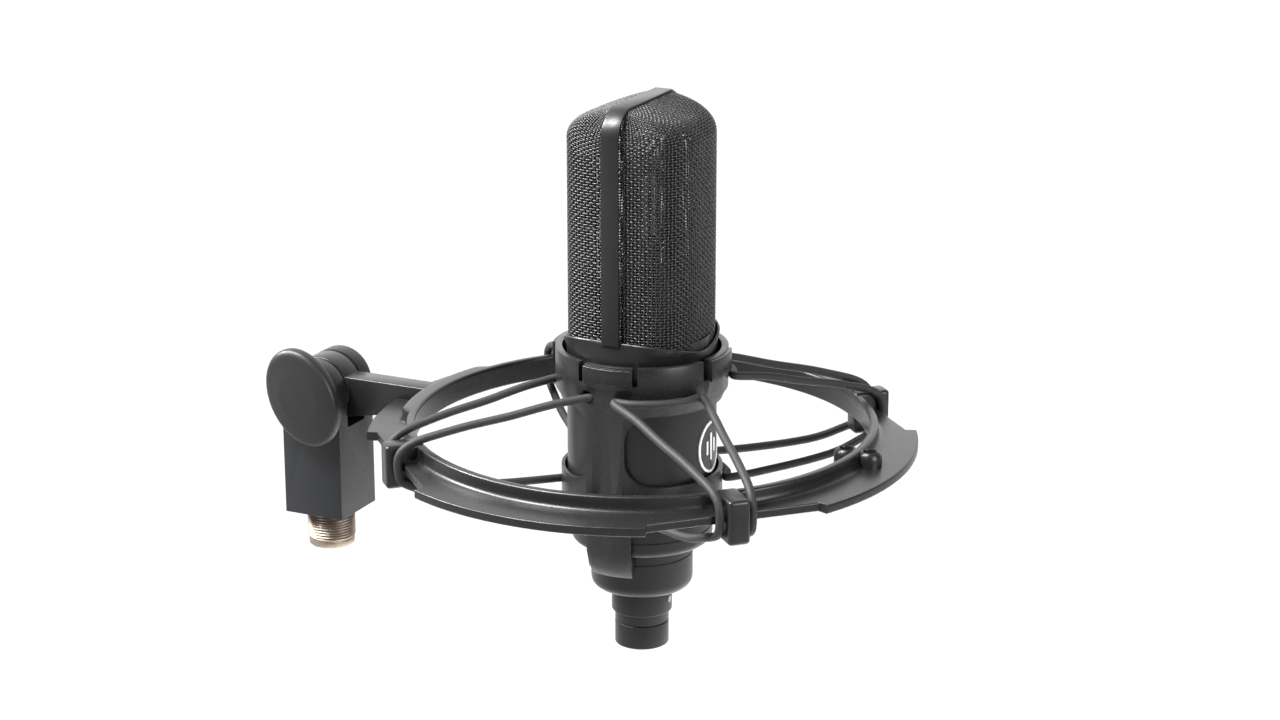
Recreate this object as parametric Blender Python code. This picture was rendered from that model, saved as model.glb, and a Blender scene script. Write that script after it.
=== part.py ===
# Side-address ribbon microphone in its elastic suspension mount.
# Metres, +Z up. The origin is the middle of the stand bush's lower face, where the stand's
# thread enters. The microphone stands on its own axis in front of the hinge, at -Y.

from math import asin, atan2, ceil, cos, pi, radians, sin

import bmesh
import bpy
from mathutils import Matrix, Vector

mm = 0.001
gap = 0.3 * mm                      # between pieces that touch on the real object

# stand block, its bush and the hinge
block_width = 21.6 * mm
block_depth = 21.6 * mm
block_height = 42.5 * mm            # underside to hinge axis
fork_slot_width = 10.6 * mm
fork_slot_depth = 11.7 * mm         # hinge axis to the slot's floor
bush_radius = 8.1 * mm
bush_ring_radius = 7.6 * mm
bush_ring_height = 2.2 * mm
bush_drop = 12.6 * mm               # how far the bush stands out of the block
bush_depth = 8.0 * mm               # how far it is screwed in
bush_bore_radius = 4.4 * mm
bolt_radius = 2.9 * mm
washer_radius = 8.0 * mm
washer_thickness = 0.5 * mm
nut_across_flats = 10.0 * mm
nut_height = 3.2 * mm
knob_half_length = 16.9 * mm
knob_half_width = 12.5 * mm
knob_thickness = 4.6 * mm
knob_crown = 1.8 * mm
knob_neck_radius = 6.0 * mm
knob_neck_length = 1.2 * mm
knob_lean = radians(25.5)           # its long axis from the vertical

# arm and ring frame
arm_reach = 115.2 * mm              # hinge axis to microphone axis
arm_width = 8.0 * mm
arm_height = 15.6 * mm
arm_top_above_hinge = 5.2 * mm
eye_radius = 10.8 * mm
eye_width = 8.4 * mm
ring_inner_radius = 71.1 * mm
ring_wall = 2.8 * mm
ring_wall_at_arm = 5.5 * mm
ring_height = 7.6 * mm
ring_top_above_arm = 0.2 * mm
flange_radius = 86.5 * mm
flange_thickness = 2.8 * mm
flange_flat = 78.8 * mm             # distance of the flat beside each lug
flange_wide_half_angle = radians(26)
lug_radius = 83.7 * mm              # to its outer face
lug_width = 6.8 * mm
lug_height = 13.8 * mm
lug_rise = 0.6 * mm                 # above the ring's top
boss_radius = 3.8 * mm
boss_bore_radius = 2.0 * mm
boss_height = 4.6 * mm

# microphone body; heights are counted up from the connector's lower edge
body_radius = 23.4 * mm
body_wall = 1.5 * mm
body_length = 52.3 * mm
base_step = 1.0 * mm                # in from the body's side
base_length = 16.2 * mm
base_edge_radius = 3.0 * mm
stem_radius = 16.2 * mm
stem_length = 16.1 * mm
stem_bottom = 20.0 * mm
stem_edge_radius = 4.0 * mm
base_wall = 2.0 * mm
collar_radius = 9.65 * mm
collar_length = 8.2 * mm
shell_radius = 8.6 * mm
shell_bore_radius = 7.7 * mm
insert_bottom = 12.0 * mm
insert_top = 23.0 * mm
pin_radius = 1.2 * mm
pin_bottom = 2.5 * mm
pin_top = 25.5 * mm
pin_circle_radius = 4.2 * mm
connector_screw_radius = 1.1 * mm
connector_screw_height = 0.9 * mm
connector_chamfer = 0.6 * mm
connector_flange = 1.6 * mm         # how far the shell's inner flange stands out
connector_flange_thickness = 2.1 * mm

# head
head_step = 1.6 * mm                # in from the body's side
head_power = 3.0                    # of the rounded square that the head is in plan
grille_length = 60.4 * mm           # up to the shoulder, where the roof starts
roof_height = 11.6 * mm
grille_wall = 1.2 * mm
roof_rows = [(0.35, 0.975, 0.93), (0.6, 0.93, 0.72), (0.82, 0.86, 0.38),
             (1, 0.79, 0.02)]       # share of the way up, of the width and of the depth
strap_width = 6.2 * mm
strap_thickness = 1.0 * mm
strap_above_roof = 0.9 * mm
strap_flat_half = 15.5 * mm         # half the length of its flat top
strap_above_shoulder = 2.0 * mm     # where its corner starts
strap_corner_in = 1.6 * mm
strap_corner_up = 5.2 * mm
head_plate_thickness = 3.0 * mm

# ribbon motor and what carries it
motor_half_width = 8.5 * mm
motor_half_depth = 2.6 * mm
motor_above_body = 25.7 * mm
motor_height = 27.0 * mm
motor_window_half_width = 5.6 * mm
motor_rail = 3.2 * mm
magnet_width = 3.4 * mm
magnet_recess = 0.2 * mm
ribbon_width = 2.6 * mm
ribbon_thickness = 0.25 * mm
ribbon_fold = 1.4 * mm              # length of one corrugation
ribbon_fold_depth = 0.6 * mm
clamp_height = 1.8 * mm
clamp_half_depth = 1.5 * mm
stand_half_width = 15.0 * mm
stand_half_depth = 9.0 * mm
stand_block_height = 17.1 * mm
stand_neck_width = 3.0 * mm
transformer_radius = 11.0 * mm
transformer_height = 24.0 * mm
transformer_edge = 1.5 * mm
board_width = 32.0 * mm
board_thickness = 1.6 * mm
board_end_clearance = 3.7 * mm      # to the body's lower edge, and twice that above
board_offset = 9.0 * mm
rod_radius = 1.6 * mm
rod_from_wall = 1.7 * mm            # between the rod and the body's inner wall
base_plate_thickness = 2.0 * mm

# badge on the front of the body
badge_above_body_bottom = 17.0 * mm
badge_half_height = 8.4 * mm
badge_half_width = 7.0 * mm
badge_thickness = 0.3 * mm

# cradle that holds the body
cradle_clearance = 0.9 * mm         # round the body
cradle_wall = 1.1 * mm
cradle_above_base = 10.9 * mm       # its lower edge above the base's
cradle_height = 52.5 * mm
ring_top_above_cradle = 28.6 * mm   # the ring's top above the cradle's lower edge
cradle_rim_flare = 1.6 * mm         # out from the wall below it
cradle_rim_wall = 2.1 * mm
cradle_rim_height = 12.7 * mm
cradle_rim_taper = 2.6 * mm
window_above_bottom = 13.5 * mm
window_below_rim = 3.2 * mm
window_from_side = 5.6 * mm         # half the pillar left at each side
window_corner_radius = 8.5 * mm
tab_height = 6.7 * mm
tab_proud = 1.1 * mm
tab_start = radians(-15)
tab_end = radians(19)
notch_angle = radians(-18)
notch_width = 2.4 * mm
notch_depth = 6.2 * mm
tongue_half_angle = radians(17.5)
tongue_foot_below_base = 6.3 * mm
tongue_bend_above = 1.9 * mm        # where it turns in, above and below the base's edge
tongue_bend_below = 3.1 * mm

# elastic cords
cord_radius = 1.3 * mm
cord_above_rim_bottom = 2.2 * mm
cord_above_cradle_bottom = 8.4 * mm
cord_side_angle = radians(8.3)      # of a strand's foot on the cradle, from the X axis
cord_front_angle = radians(25.5)    # and from the Y axis
cord_clearance = 0.4 * mm
cord_run_clearance = 0.9 * mm       # where it lies round the cradle
cord_hole_clearance = 0.7 * mm
# a strand's way: share of the way out, and of the height from its foot to the ring
upper_way = [(0, 0), (0.22, 0.11), (0.44, 0.29), (0.64, 0.425), (0.78, 0.545), (0.90, 0.667),
             (0.97, 0.81), (1, 1)]
lower_way = [(1, 1), (0.985, 0.76), (0.94, 0.625), (0.86, 0.49), (0.72, 0.275), (0.55, 0.153),
             (0.30, 0.06), (0, 0)]

round_segments = 48

# places that follow from the sizes above
block_bottom = bush_drop
hinge_height = block_bottom + block_height
hinge_centre = Vector((0, 0, hinge_height))
arm_top = hinge_height + arm_top_above_hinge
ring_top = arm_top + ring_top_above_arm
ring_bottom = ring_top - ring_height
ring_outer_radius = ring_inner_radius + ring_wall

base_radius = body_radius - base_step
head_half_width = body_radius - head_step
rod_offset = body_radius - body_wall - rod_from_wall - rod_radius
base_bottom = stem_bottom + stem_length
body_bottom = base_bottom + base_length
body_top = body_bottom + body_length
collar_bottom = stem_bottom - gap - collar_length
shell_seat = stem_bottom + base_wall + gap
shell_top = shell_seat + connector_flange_thickness
head_shoulder = body_top + grille_length
head_top = head_shoulder + roof_height
strap_top = head_top + strap_above_roof
strap_shoulder = head_shoulder + strap_above_shoulder
stand_block_top = body_top + gap + stand_block_height
motor_bottom = body_top + motor_above_body
motor_top = motor_bottom + motor_height
board_bottom = body_bottom + board_end_clearance
board_top = body_top - 2 * board_end_clearance
badge_centre = body_bottom + badge_above_body_bottom
cradle_bottom = base_bottom + cradle_above_base
cradle_top = cradle_bottom + cradle_height
cradle_rim_bottom = cradle_top - cradle_rim_height
window_bottom = cradle_bottom + window_above_bottom
window_top = cradle_rim_bottom - window_below_rim
tongue_foot_bottom = base_bottom - tongue_foot_below_base
cord_upper = cradle_rim_bottom + cord_above_rim_bottom
cord_lower = cradle_bottom + cord_above_cradle_bottom
mic_below_ring_top = cradle_bottom + ring_top_above_cradle
mic_centre = Vector((0, -arm_reach, ring_top - mic_below_ring_top))
cradle_radius = body_radius + cradle_clearance
cradle_outer_radius = cradle_radius + cradle_wall
cradle_rim_radius = cradle_outer_radius + cradle_rim_flare
lug_angles = {"front_left": radians(225), "front_right": radians(315),
              "rear_left": radians(135), "rear_right": radians(45)}


for old in list(bpy.data.objects):
    bpy.data.objects.remove(old)


def material(name, colour, roughness, metallic=0.0):
    made = bpy.data.materials.new(name)
    made.use_nodes = True
    shader = made.node_tree.nodes["Principled BSDF"]
    shader.inputs["Base Color"].default_value = (*colour, 1)
    shader.inputs["Roughness"].default_value = roughness
    shader.inputs["Metallic"].default_value = metallic
    made.diffuse_color = (*colour, 1)
    return made


black_plastic = material("black_plastic", (0.035, 0.036, 0.038), 0.5)
black_paint = material("black_paint", (0.03, 0.031, 0.033), 0.4, 0.2)
black_wire = material("black_wire", (0.04, 0.041, 0.043), 0.45, 0.6)
cord_rubber = material("cord_rubber", (0.05, 0.051, 0.053), 0.7)
nickel = material("nickel", (0.62, 0.55, 0.47), 0.35, 1.0)
steel = material("steel", (0.5, 0.5, 0.5), 0.35, 1.0)
magnet_metal = material("magnet_metal", (0.45, 0.45, 0.47), 0.3, 1.0)
ribbon_metal = material("ribbon_metal", (0.8, 0.8, 0.82), 0.25, 1.0)
board_green = material("board_green", (0.03, 0.12, 0.05), 0.5)
badge_enamel = material("badge_enamel", (0.02, 0.02, 0.02), 0.3)


# ---- shapes

def add_object(name, mesh, finish, place=None):
    thing = bpy.data.objects.new(name, mesh)
    bpy.context.scene.collection.objects.link(thing)
    mesh.materials.append(finish)
    mesh.shade_smooth()
    mesh.set_sharp_from_angle(angle=radians(35))
    if place is not None:
        thing.location = place
    return thing


def mesh_from(points, faces, name):
    mesh = bpy.data.meshes.new(name)
    mesh.from_pydata([tuple(p) for p in points], [], faces)
    shape = bmesh.new()
    shape.from_mesh(mesh)
    bmesh.ops.recalc_face_normals(shape, faces=shape.faces)
    shape.to_mesh(mesh)
    shape.free()
    return mesh


def turned(name, profile, segments=round_segments):
    """A closed (radius, height) outline turned round Z; points at radius 0 become one."""
    points = []
    rows = []
    for radius, height in profile:
        if radius < 1e-9:
            rows.append([len(points)] * segments)
            points.append((0, 0, height))
            continue
        rows.append(list(range(len(points), len(points) + segments)))
        for step in range(segments):
            angle = 2 * pi * step / segments
            points.append((radius * cos(angle), radius * sin(angle), height))
    faces = []
    for index, row in enumerate(rows):
        following = rows[(index + 1) % len(rows)]
        for step in range(segments):
            turn = (step + 1) % segments
            corners = [row[step], row[turn], following[turn], following[step]]
            unique = list(dict.fromkeys(corners))
            if len(unique) > 2:
                faces.append(unique)
    return mesh_from(points, faces, name)


def extruded(name, outline, low, high):
    """A closed (x, y) outline stretched from one height to another."""
    count = len(outline)
    points = [(x, y, low) for x, y in outline] + [(x, y, high) for x, y in outline]
    faces = [list(range(count))[::-1], list(range(count, 2 * count))]
    for index in range(count):
        turn = (index + 1) % count
        faces.append([index, turn, turn + count, index + count])
    return mesh_from(points, faces, name)


def box_mesh(name, low, high):
    outline = [(low[0], low[1]), (high[0], low[1]), (high[0], high[1]), (low[0], high[1])]
    return extruded(name, outline, low[2], high[2])


def arc(centre, radius, start, end, steps):
    return [(centre[0] + radius * cos(start + (end - start) * step / steps),
             centre[1] + radius * sin(start + (end - start) * step / steps))
            for step in range(steps + 1)]


def band(name, section, start, end, steps):
    """A closed (radius, height) section swept round Z from one angle to another."""
    count = len(section)
    points = []
    for step in range(steps + 1):
        angle = start + (end - start) * step / steps
        points += [(r * cos(angle), r * sin(angle), z) for r, z in section]
    faces = [list(range(count)), list(range(steps * count, (steps + 1) * count))[::-1]]
    for step in range(steps):
        for index in range(count):
            turn = (index + 1) % count
            row = step * count
            faces.append([row + index, row + turn, row + count + turn, row + count + index])
    return mesh_from(points, faces, name)


def along_x(mesh):
    mesh.transform(Matrix.Rotation(pi / 2, 4, "Y"))
    return mesh


def along_y(mesh):
    mesh.transform(Matrix.Rotation(-pi / 2, 4, "X"))
    return mesh


def tool_object(name, mesh, place=None):
    """A cutter or an added shape that isn't a piece of its own."""
    tool = add_object(name, mesh, black_plastic, place)
    tool.hide_render = True
    tool.display_type = "WIRE"
    return tool


def combine(target, mesh, operation, place=None):
    tool = tool_object(target.name + "_tool", mesh, place)
    step = target.modifiers.new(operation.lower(), "BOOLEAN")
    step.operation = operation
    step.solver = "EXACT"
    step.object = tool


# ---- stand block and hinge

def stand_block():
    half_width = block_width / 2
    half_depth = block_depth / 2
    outline = [(-half_depth, block_bottom), (half_depth, block_bottom)]
    outline += arc((0, hinge_height), half_depth, 0, pi, 18)
    profile = extruded("stand_block", outline, -half_width, half_width)
    # the outline's (y, z) is turned into place, and its extrusion lies along X
    profile.transform(Matrix(((0, 0, 1, 0), (1, 0, 0, 0), (0, 1, 0, 0), (0, 0, 0, 1))))
    block = add_object("stand_block", profile, black_paint)
    slot_floor = hinge_height - fork_slot_depth
    slot_half = fork_slot_width / 2
    above = hinge_height + block_depth
    combine(block, box_mesh("fork_slot", (-slot_half, -block_depth, slot_floor),
                            (slot_half, block_depth, above)), "DIFFERENCE")
    socket_radius = bush_radius + gap
    socket_depth = bush_depth + gap
    combine(block, turned("bush_socket", [(0, block_bottom - block_height / 4),
                                          (socket_radius, block_bottom - block_height / 4),
                                          (socket_radius, block_bottom + socket_depth),
                                          (0, block_bottom + socket_depth)], 32), "DIFFERENCE")
    hole_radius = bolt_radius + gap
    combine(block, along_x(turned("bolt_hole", [(0, -block_width), (hole_radius, -block_width),
                                                (hole_radius, block_width), (0, block_width)], 24)),
            "DIFFERENCE", hinge_centre)
    pocket_radius = (nut_across_flats / 2 + gap) / cos(pi / 6)
    pocket_floor = half_width - nut_height - gap
    combine(block, along_x(turned("nut_pocket", [(0, pocket_floor), (pocket_radius, pocket_floor),
                                                 (pocket_radius, block_width), (0, block_width)], 6)),
            "DIFFERENCE", hinge_centre)


def stand_bush():
    """The screwed adapter bush, plain outside here; its upper end sits in the block's socket."""
    top = bush_drop + bush_depth
    profile = [(bush_bore_radius, 0), (bush_ring_radius, 0), (bush_ring_radius, bush_ring_height),
               (bush_radius, bush_ring_height), (bush_radius, top), (bush_bore_radius, top)]
    add_object("stand_bush", turned("stand_bush", profile, 32), nickel)


def washers():
    inner = eye_width / 2 + gap
    for side, name in ((-1, "washer_left"), (1, "washer_right")):
        profile = [(bolt_radius + gap, inner), (washer_radius, inner),
                   (washer_radius, inner + washer_thickness),
                   (bolt_radius + gap, inner + washer_thickness)]
        ring = turned(name, [(r, side * x) for r, x in profile], 32)
        add_object(name, along_x(ring), steel, hinge_centre)


def clamp_knob():
    """The oval thumb knob, on a neck that bears on the block's left face."""
    neck_start = block_width / 2 + gap
    base = neck_start + knob_neck_length
    edge = base + knob_thickness
    rows = [(0.90, base), (1.0, base + knob_thickness * 0.25), (1.0, edge - knob_thickness * 0.2),
            (0.93, edge + knob_crown * 0.35), (0.72, edge + knob_crown * 0.75),
            (0.40, edge + knob_crown * 0.95)]
    steps = 40
    points = []
    for share, height in rows:
        for step in range(steps):
            angle = 2 * pi * step / steps
            points.append((knob_half_width * share * cos(angle),
                           knob_half_length * share * sin(angle), height))
    points.append((0, 0, edge + knob_crown))
    top = len(points) - 1
    faces = [list(range(steps))[::-1]]
    for row in range(len(rows) - 1):
        for step in range(steps):
            turn = (step + 1) % steps
            faces.append([row * steps + step, row * steps + turn,
                          (row + 1) * steps + turn, (row + 1) * steps + step])
    last = (len(rows) - 1) * steps
    faces += [[last + step, last + (step + 1) % steps, top] for step in range(steps)]
    mesh = mesh_from(points, faces, "thumb_knob")
    # local Z points to -X, local Y is the long axis, leaning back from the vertical
    turn = Matrix.Rotation(-pi / 2, 4, "Y") @ Matrix.Rotation(pi / 2, 4, "Z")
    mesh.transform(turn)
    mesh.transform(Matrix.Rotation(-knob_lean, 4, "X"))
    knob = add_object("thumb_knob", mesh, black_plastic, hinge_centre)
    neck = [(0, neck_start), (knob_neck_radius, neck_start),
            (knob_neck_radius, base + knob_thickness / 2), (0, base + knob_thickness / 2)]
    neck_mesh = turned("knob_neck", neck, 24)
    neck_mesh.transform(turn)
    combine(knob, neck_mesh, "UNION", hinge_centre)
    seat = [(0, 0), (bolt_radius + gap, 0), (bolt_radius + gap, base + knob_thickness / 2 + gap),
            (0, base + knob_thickness / 2 + gap)]
    seat_mesh = turned("bolt_seat", seat, 24)
    seat_mesh.transform(turn)
    combine(knob, seat_mesh, "DIFFERENCE", hinge_centre)


def clamp_bolt():
    """The bolt that the knob drives; it reaches into the knob and through the captive nut."""
    head = -(block_width / 2 + gap + knob_neck_length + knob_thickness / 2)
    tail = block_width / 2 - gap
    profile = [(0, head), (bolt_radius, head), (bolt_radius, tail), (0, tail)]
    add_object("clamp_bolt", along_x(turned("clamp_bolt", profile, 24)), steel, hinge_centre)
    inner = block_width / 2 - nut_height
    corner = nut_across_flats / 2 / cos(pi / 6)
    nut = turned("clamp_nut", [(0, inner), (corner, inner), (corner, block_width / 2),
                               (0, block_width / 2)], 6)
    hole = turned("nut_hole", [(0, 0), (bolt_radius + gap, 0), (bolt_radius + gap, block_width),
                               (0, block_width)], 24)
    piece = add_object("clamp_nut", along_x(nut), steel, hinge_centre)
    combine(piece, along_x(hole), "DIFFERENCE", hinge_centre)


# ---- ring frame

def flange_outline():
    """Round the ring: wide arcs on the four axes, flats square to each lug between them."""
    points = []
    flat_half = pi / 4 - flange_wide_half_angle
    for quarter in range(4):
        axis = quarter * pi / 2
        points += [(flange_radius * cos(axis + turn), flange_radius * sin(axis + turn))
                   for turn in [flange_wide_half_angle * step / 8 for step in range(-8, 9)]]
        lug = axis + pi / 4
        for turn in (-flat_half, flat_half):
            reach = flange_flat / cos(turn)
            points.append((reach * cos(lug + turn), reach * sin(lug + turn)))
    return points


def ring_frame():
    wall = turned("ring_frame", [(ring_inner_radius, ring_bottom), (ring_outer_radius, ring_bottom),
                                 (ring_outer_radius, ring_top), (ring_inner_radius, ring_top)], 96)
    centre = Vector((0, -arm_reach, 0))
    ring = add_object("ring_frame", wall, black_plastic, centre)
    flange = extruded("flange", flange_outline(), ring_bottom, ring_bottom + flange_thickness)
    ring_hole_radius = ring_inner_radius + ring_wall / 2
    hole = turned("flange_hole", [(0, 0), (ring_hole_radius, 0), (ring_hole_radius, 2 * ring_top),
                                  (0, 2 * ring_top)], 96)
    plate = tool_object("flange_tool", flange, centre)
    combine(plate, hole, "DIFFERENCE", centre)
    join = ring.modifiers.new("flange", "BOOLEAN")
    join.operation = "UNION"
    join.object = plate
    thick = band("wall_at_arm", [(ring_hole_radius, ring_bottom),
                                 (ring_inner_radius + ring_wall_at_arm, ring_bottom),
                                 (ring_inner_radius + ring_wall_at_arm, ring_top),
                                 (ring_hole_radius, ring_top)], radians(69), radians(111), 12)
    combine(ring, thick, "UNION", centre)
    half_lug = lug_width / 2
    lug_top = ring_top + lug_rise
    for angle in lug_angles.values():
        lug = box_mesh("lug", (ring_hole_radius, -half_lug, lug_top - lug_height),
                       (lug_radius, half_lug, lug_top))
        lug.transform(Matrix.Rotation(angle, 4, "Z"))
        combine(ring, lug, "UNION", centre)
    half_arm = arm_width / 2
    arm_bottom = arm_top - arm_height
    arm_start = ring_hole_radius - arm_reach
    arm = box_mesh("arm", (-half_arm, arm_start, arm_bottom), (half_arm, 0, arm_top))
    for vertex in arm.vertices:
        if vertex.co.y < arm_start / 2 and vertex.co.z < ring_bottom:
            vertex.co.z = ring_bottom     # the underside rises to the ring's
    combine(ring, arm, "UNION")
    half_eye = eye_width / 2
    eye = [(0, -half_eye), (eye_radius, -half_eye), (eye_radius, half_eye), (0, half_eye)]
    combine(ring, along_x(turned("eye", eye, 40)), "UNION", hinge_centre)
    bore = bolt_radius + gap
    hole = [(0, -eye_width), (bore, -eye_width), (bore, eye_width), (0, eye_width)]
    combine(ring, along_x(turned("eye_hole", hole, 24)), "DIFFERENCE", hinge_centre)
    middle = ring_inner_radius + ring_wall / 2
    for reach in (middle - boss_radius, middle + boss_radius):
        place = centre + Vector((0, -reach, 0))
        boss = [(0, ring_bottom), (boss_radius, ring_bottom), (boss_radius, ring_bottom + boss_height),
                (boss_radius * 0.8, ring_top), (0, ring_top)]
        combine(ring, turned("boss", boss, 20), "UNION", place)
        bore = [(0, 0), (boss_bore_radius, 0), (boss_bore_radius, 2 * ring_top), (0, 2 * ring_top)]
        combine(ring, turned("boss_bore", bore, 16), "DIFFERENCE", place)


# ---- microphone

def base_housing():
    steps = 3
    profile = [(shell_radius + gap, stem_bottom)]
    corner = (stem_radius - stem_edge_radius, stem_bottom + stem_edge_radius)
    profile += arc(corner, stem_edge_radius, -pi / 2, 0, steps)
    profile.append((stem_radius, base_bottom))
    corner = (base_radius - base_edge_radius, base_bottom + base_edge_radius)
    profile += arc(corner, base_edge_radius, -pi / 2, 0, steps)
    top = body_bottom - gap
    profile += [(base_radius, top), (base_radius - base_wall, top),
                (base_radius - base_wall, base_bottom + base_wall + base_edge_radius),
                (stem_radius - base_wall, base_bottom + base_wall),
                (stem_radius - base_wall, stem_bottom + base_wall + stem_edge_radius / 2),
                (stem_radius - base_wall - stem_edge_radius / 2, stem_bottom + base_wall),
                (shell_radius + gap, stem_bottom + base_wall)]
    add_object("base_housing", turned("base_housing", profile, 48), black_paint, mic_centre)


def connector():
    flange = shell_radius + connector_flange
    shell = [(shell_bore_radius, 0), (shell_radius - connector_chamfer, 0),
             (shell_radius, connector_chamfer),
             (shell_radius, shell_seat), (flange, shell_seat), (flange, shell_top),
             (shell_bore_radius, shell_top)]
    add_object("xlr_shell", turned("xlr_shell", shell, 40), black_paint, mic_centre)
    sleeve = [(shell_radius + gap, collar_bottom), (collar_radius, collar_bottom),
              (collar_radius, stem_bottom - gap), (shell_radius + gap, stem_bottom - gap)]
    piece = add_object("xlr_collar", turned("xlr_collar", sleeve, 40), black_paint, mic_centre)
    screw_height = (collar_bottom + stem_bottom) / 2
    screw_hole = connector_screw_radius + gap
    hole = along_y(turned("screw_hole", [(0, 0), (screw_hole, 0), (screw_hole, 2 * collar_radius),
                                         (0, 2 * collar_radius)], 16))
    hole.transform(Matrix.Rotation(pi, 4, "Z"))
    combine(piece, hole, "DIFFERENCE", mic_centre + Vector((0, 0, screw_height)))
    inner = shell_radius + gap
    screw = along_y(turned("connector_screw", [(0, inner), (connector_screw_radius, inner),
                                               (connector_screw_radius, inner + connector_screw_height),
                                               (0, inner + connector_screw_height)], 16))
    screw.transform(Matrix.Rotation(pi, 4, "Z"))
    add_object("connector_screw", screw, steel, mic_centre + Vector((0, 0, screw_height)))
    insert_radius = shell_bore_radius - gap
    insert = add_object("xlr_insert", turned("xlr_insert", [(0, insert_bottom),
                                                            (insert_radius, insert_bottom),
                                                            (insert_radius, insert_top),
                                                            (0, insert_top)], 32),
                        black_plastic, mic_centre)
    for number, angle in enumerate((radians(225), radians(315), radians(90)), start=1):
        place = mic_centre + Vector((pin_circle_radius * cos(angle), pin_circle_radius * sin(angle), 0))
        hole_radius = pin_radius + gap
        hole = turned("pin_hole", [(0, 0), (hole_radius, 0), (hole_radius, shell_top),
                                   (0, shell_top)], 12)
        combine(insert, hole, "DIFFERENCE", place)
        tip = pin_radius * 0.6
        pin = [(0, pin_bottom), (tip, pin_bottom), (pin_radius, pin_bottom + tip),
               (pin_radius, pin_top), (0, pin_top)]
        name = f"xlr_pin_{number}"
        add_object(name, turned(name, pin, 12), nickel, place)


def body_tube():
    inner = body_radius - body_wall
    profile = [(inner, body_bottom), (body_radius, body_bottom), (body_radius, body_top),
               (inner, body_top)]
    add_object("body_tube", turned("body_tube", profile), black_paint, mic_centre)


def front_badge():
    """An oval plate that follows the body's curve."""
    rows = 3
    steps = 28
    inner = body_radius + gap
    points = []
    for radius in (inner, inner + badge_thickness):
        points.append((0, -radius, badge_centre))
        for row in range(1, rows + 1):
            for step in range(steps):
                angle = 2 * pi * step / steps
                across = badge_half_width * row / rows * cos(angle) / body_radius
                height = badge_centre + badge_half_height * row / rows * sin(angle)
                points.append((radius * sin(across), -radius * cos(across), height))
    size = 1 + rows * steps
    faces = []
    for side in (0, size):
        for step in range(steps):
            turn = (step + 1) % steps
            faces.append([side, side + 1 + step, side + 1 + turn])
            for row in range(rows - 1):
                near = side + 1 + row * steps
                far = near + steps
                faces.append([near + step, far + step, far + turn, near + turn])
    rim = 1 + (rows - 1) * steps
    for step in range(steps):
        turn = (step + 1) % steps
        faces.append([rim + step, rim + turn, size + rim + turn, size + rim + step])
    add_object("front_badge", mesh_from(points, faces, "front_badge"), badge_enamel, mic_centre)


def head_point(turn, width_share, depth_share, inset, side):
    """A point of the head's rounded-square plan, on the front or the rear half."""
    half = head_half_width - inset
    power = 2 / head_power
    x = half * abs(cos(turn)) ** power * (1 if cos(turn) >= 0 else -1)
    y = half * abs(sin(turn)) ** power
    start = strap_width / 2 + gap
    return x * width_share, side * (start + (y - start) * depth_share)


def grille_half(name, side):
    steps = 24
    first = asin(((strap_width / 2 + gap) / head_half_width) ** (head_power / 2))
    low = body_top + gap
    rise = head_top - head_shoulder
    rows = [(low, 1, 1), (low + (head_shoulder - low) / 2, 1, 1), (head_shoulder, 1, 1)]
    rows += [(head_shoulder + rise * up, width, depth) for up, width, depth in roof_rows]
    points = []
    for inset in (0, grille_wall):
        for height, width_share, depth_share in rows:
            drop = inset if height > head_shoulder else 0
            for step in range(steps + 1):
                turn = first + (pi - 2 * first) * step / steps
                x, y = head_point(turn, width_share, depth_share, inset, side)
                points.append((x, y, height - drop))
    wide = steps + 1
    layer = wide * len(rows)
    faces = []
    for row in range(len(rows) - 1):
        for step in range(steps):
            near = row * wide + step
            faces.append([near, near + 1, near + wide + 1, near + wide])
            near += layer
            faces.append([near + wide, near + wide + 1, near + 1, near])
    edge = [step for step in range(wide)]
    edge += [row * wide + steps for row in range(1, len(rows))]
    edge += [(len(rows) - 1) * wide + step for step in range(steps - 1, -1, -1)]
    edge += [row * wide for row in range(len(rows) - 2, 0, -1)]
    for index, near in enumerate(edge):
        far = edge[(index + 1) % len(edge)]
        faces.append([far, near, near + layer, far + layer])
    add_object(name, mesh_from(points, faces, name), black_wire, mic_centre)


def grille_strap():
    """The band that runs up one side of the head, over the top and down the other."""
    reach = head_half_width + strap_thickness + gap
    low = body_top + gap
    outside = [(reach, low), (reach, strap_shoulder),
               (reach - strap_corner_in, strap_shoulder + strap_corner_up), (strap_flat_half, strap_top)]
    inside = [(-strap_flat_half + 0.5 * strap_thickness, strap_top - strap_thickness),
              (-reach + strap_corner_in + 0.8 * strap_thickness,
               strap_shoulder + strap_corner_up - 0.6 * strap_thickness),
              (-reach + strap_thickness, strap_shoulder), (-reach + strap_thickness, low)]
    outline = outside + [(-x, z) for x, z in reversed(outside)]
    outline += list(reversed(inside)) + [(-x, z) for x, z in inside]
    half = strap_width / 2
    mesh = extruded("grille_strap", outline, -half, half)
    mesh.transform(Matrix(((1, 0, 0, 0), (0, 0, -1, 0), (0, 1, 0, 0), (0, 0, 0, 1))))
    add_object("grille_strap", mesh, black_paint, mic_centre)


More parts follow.
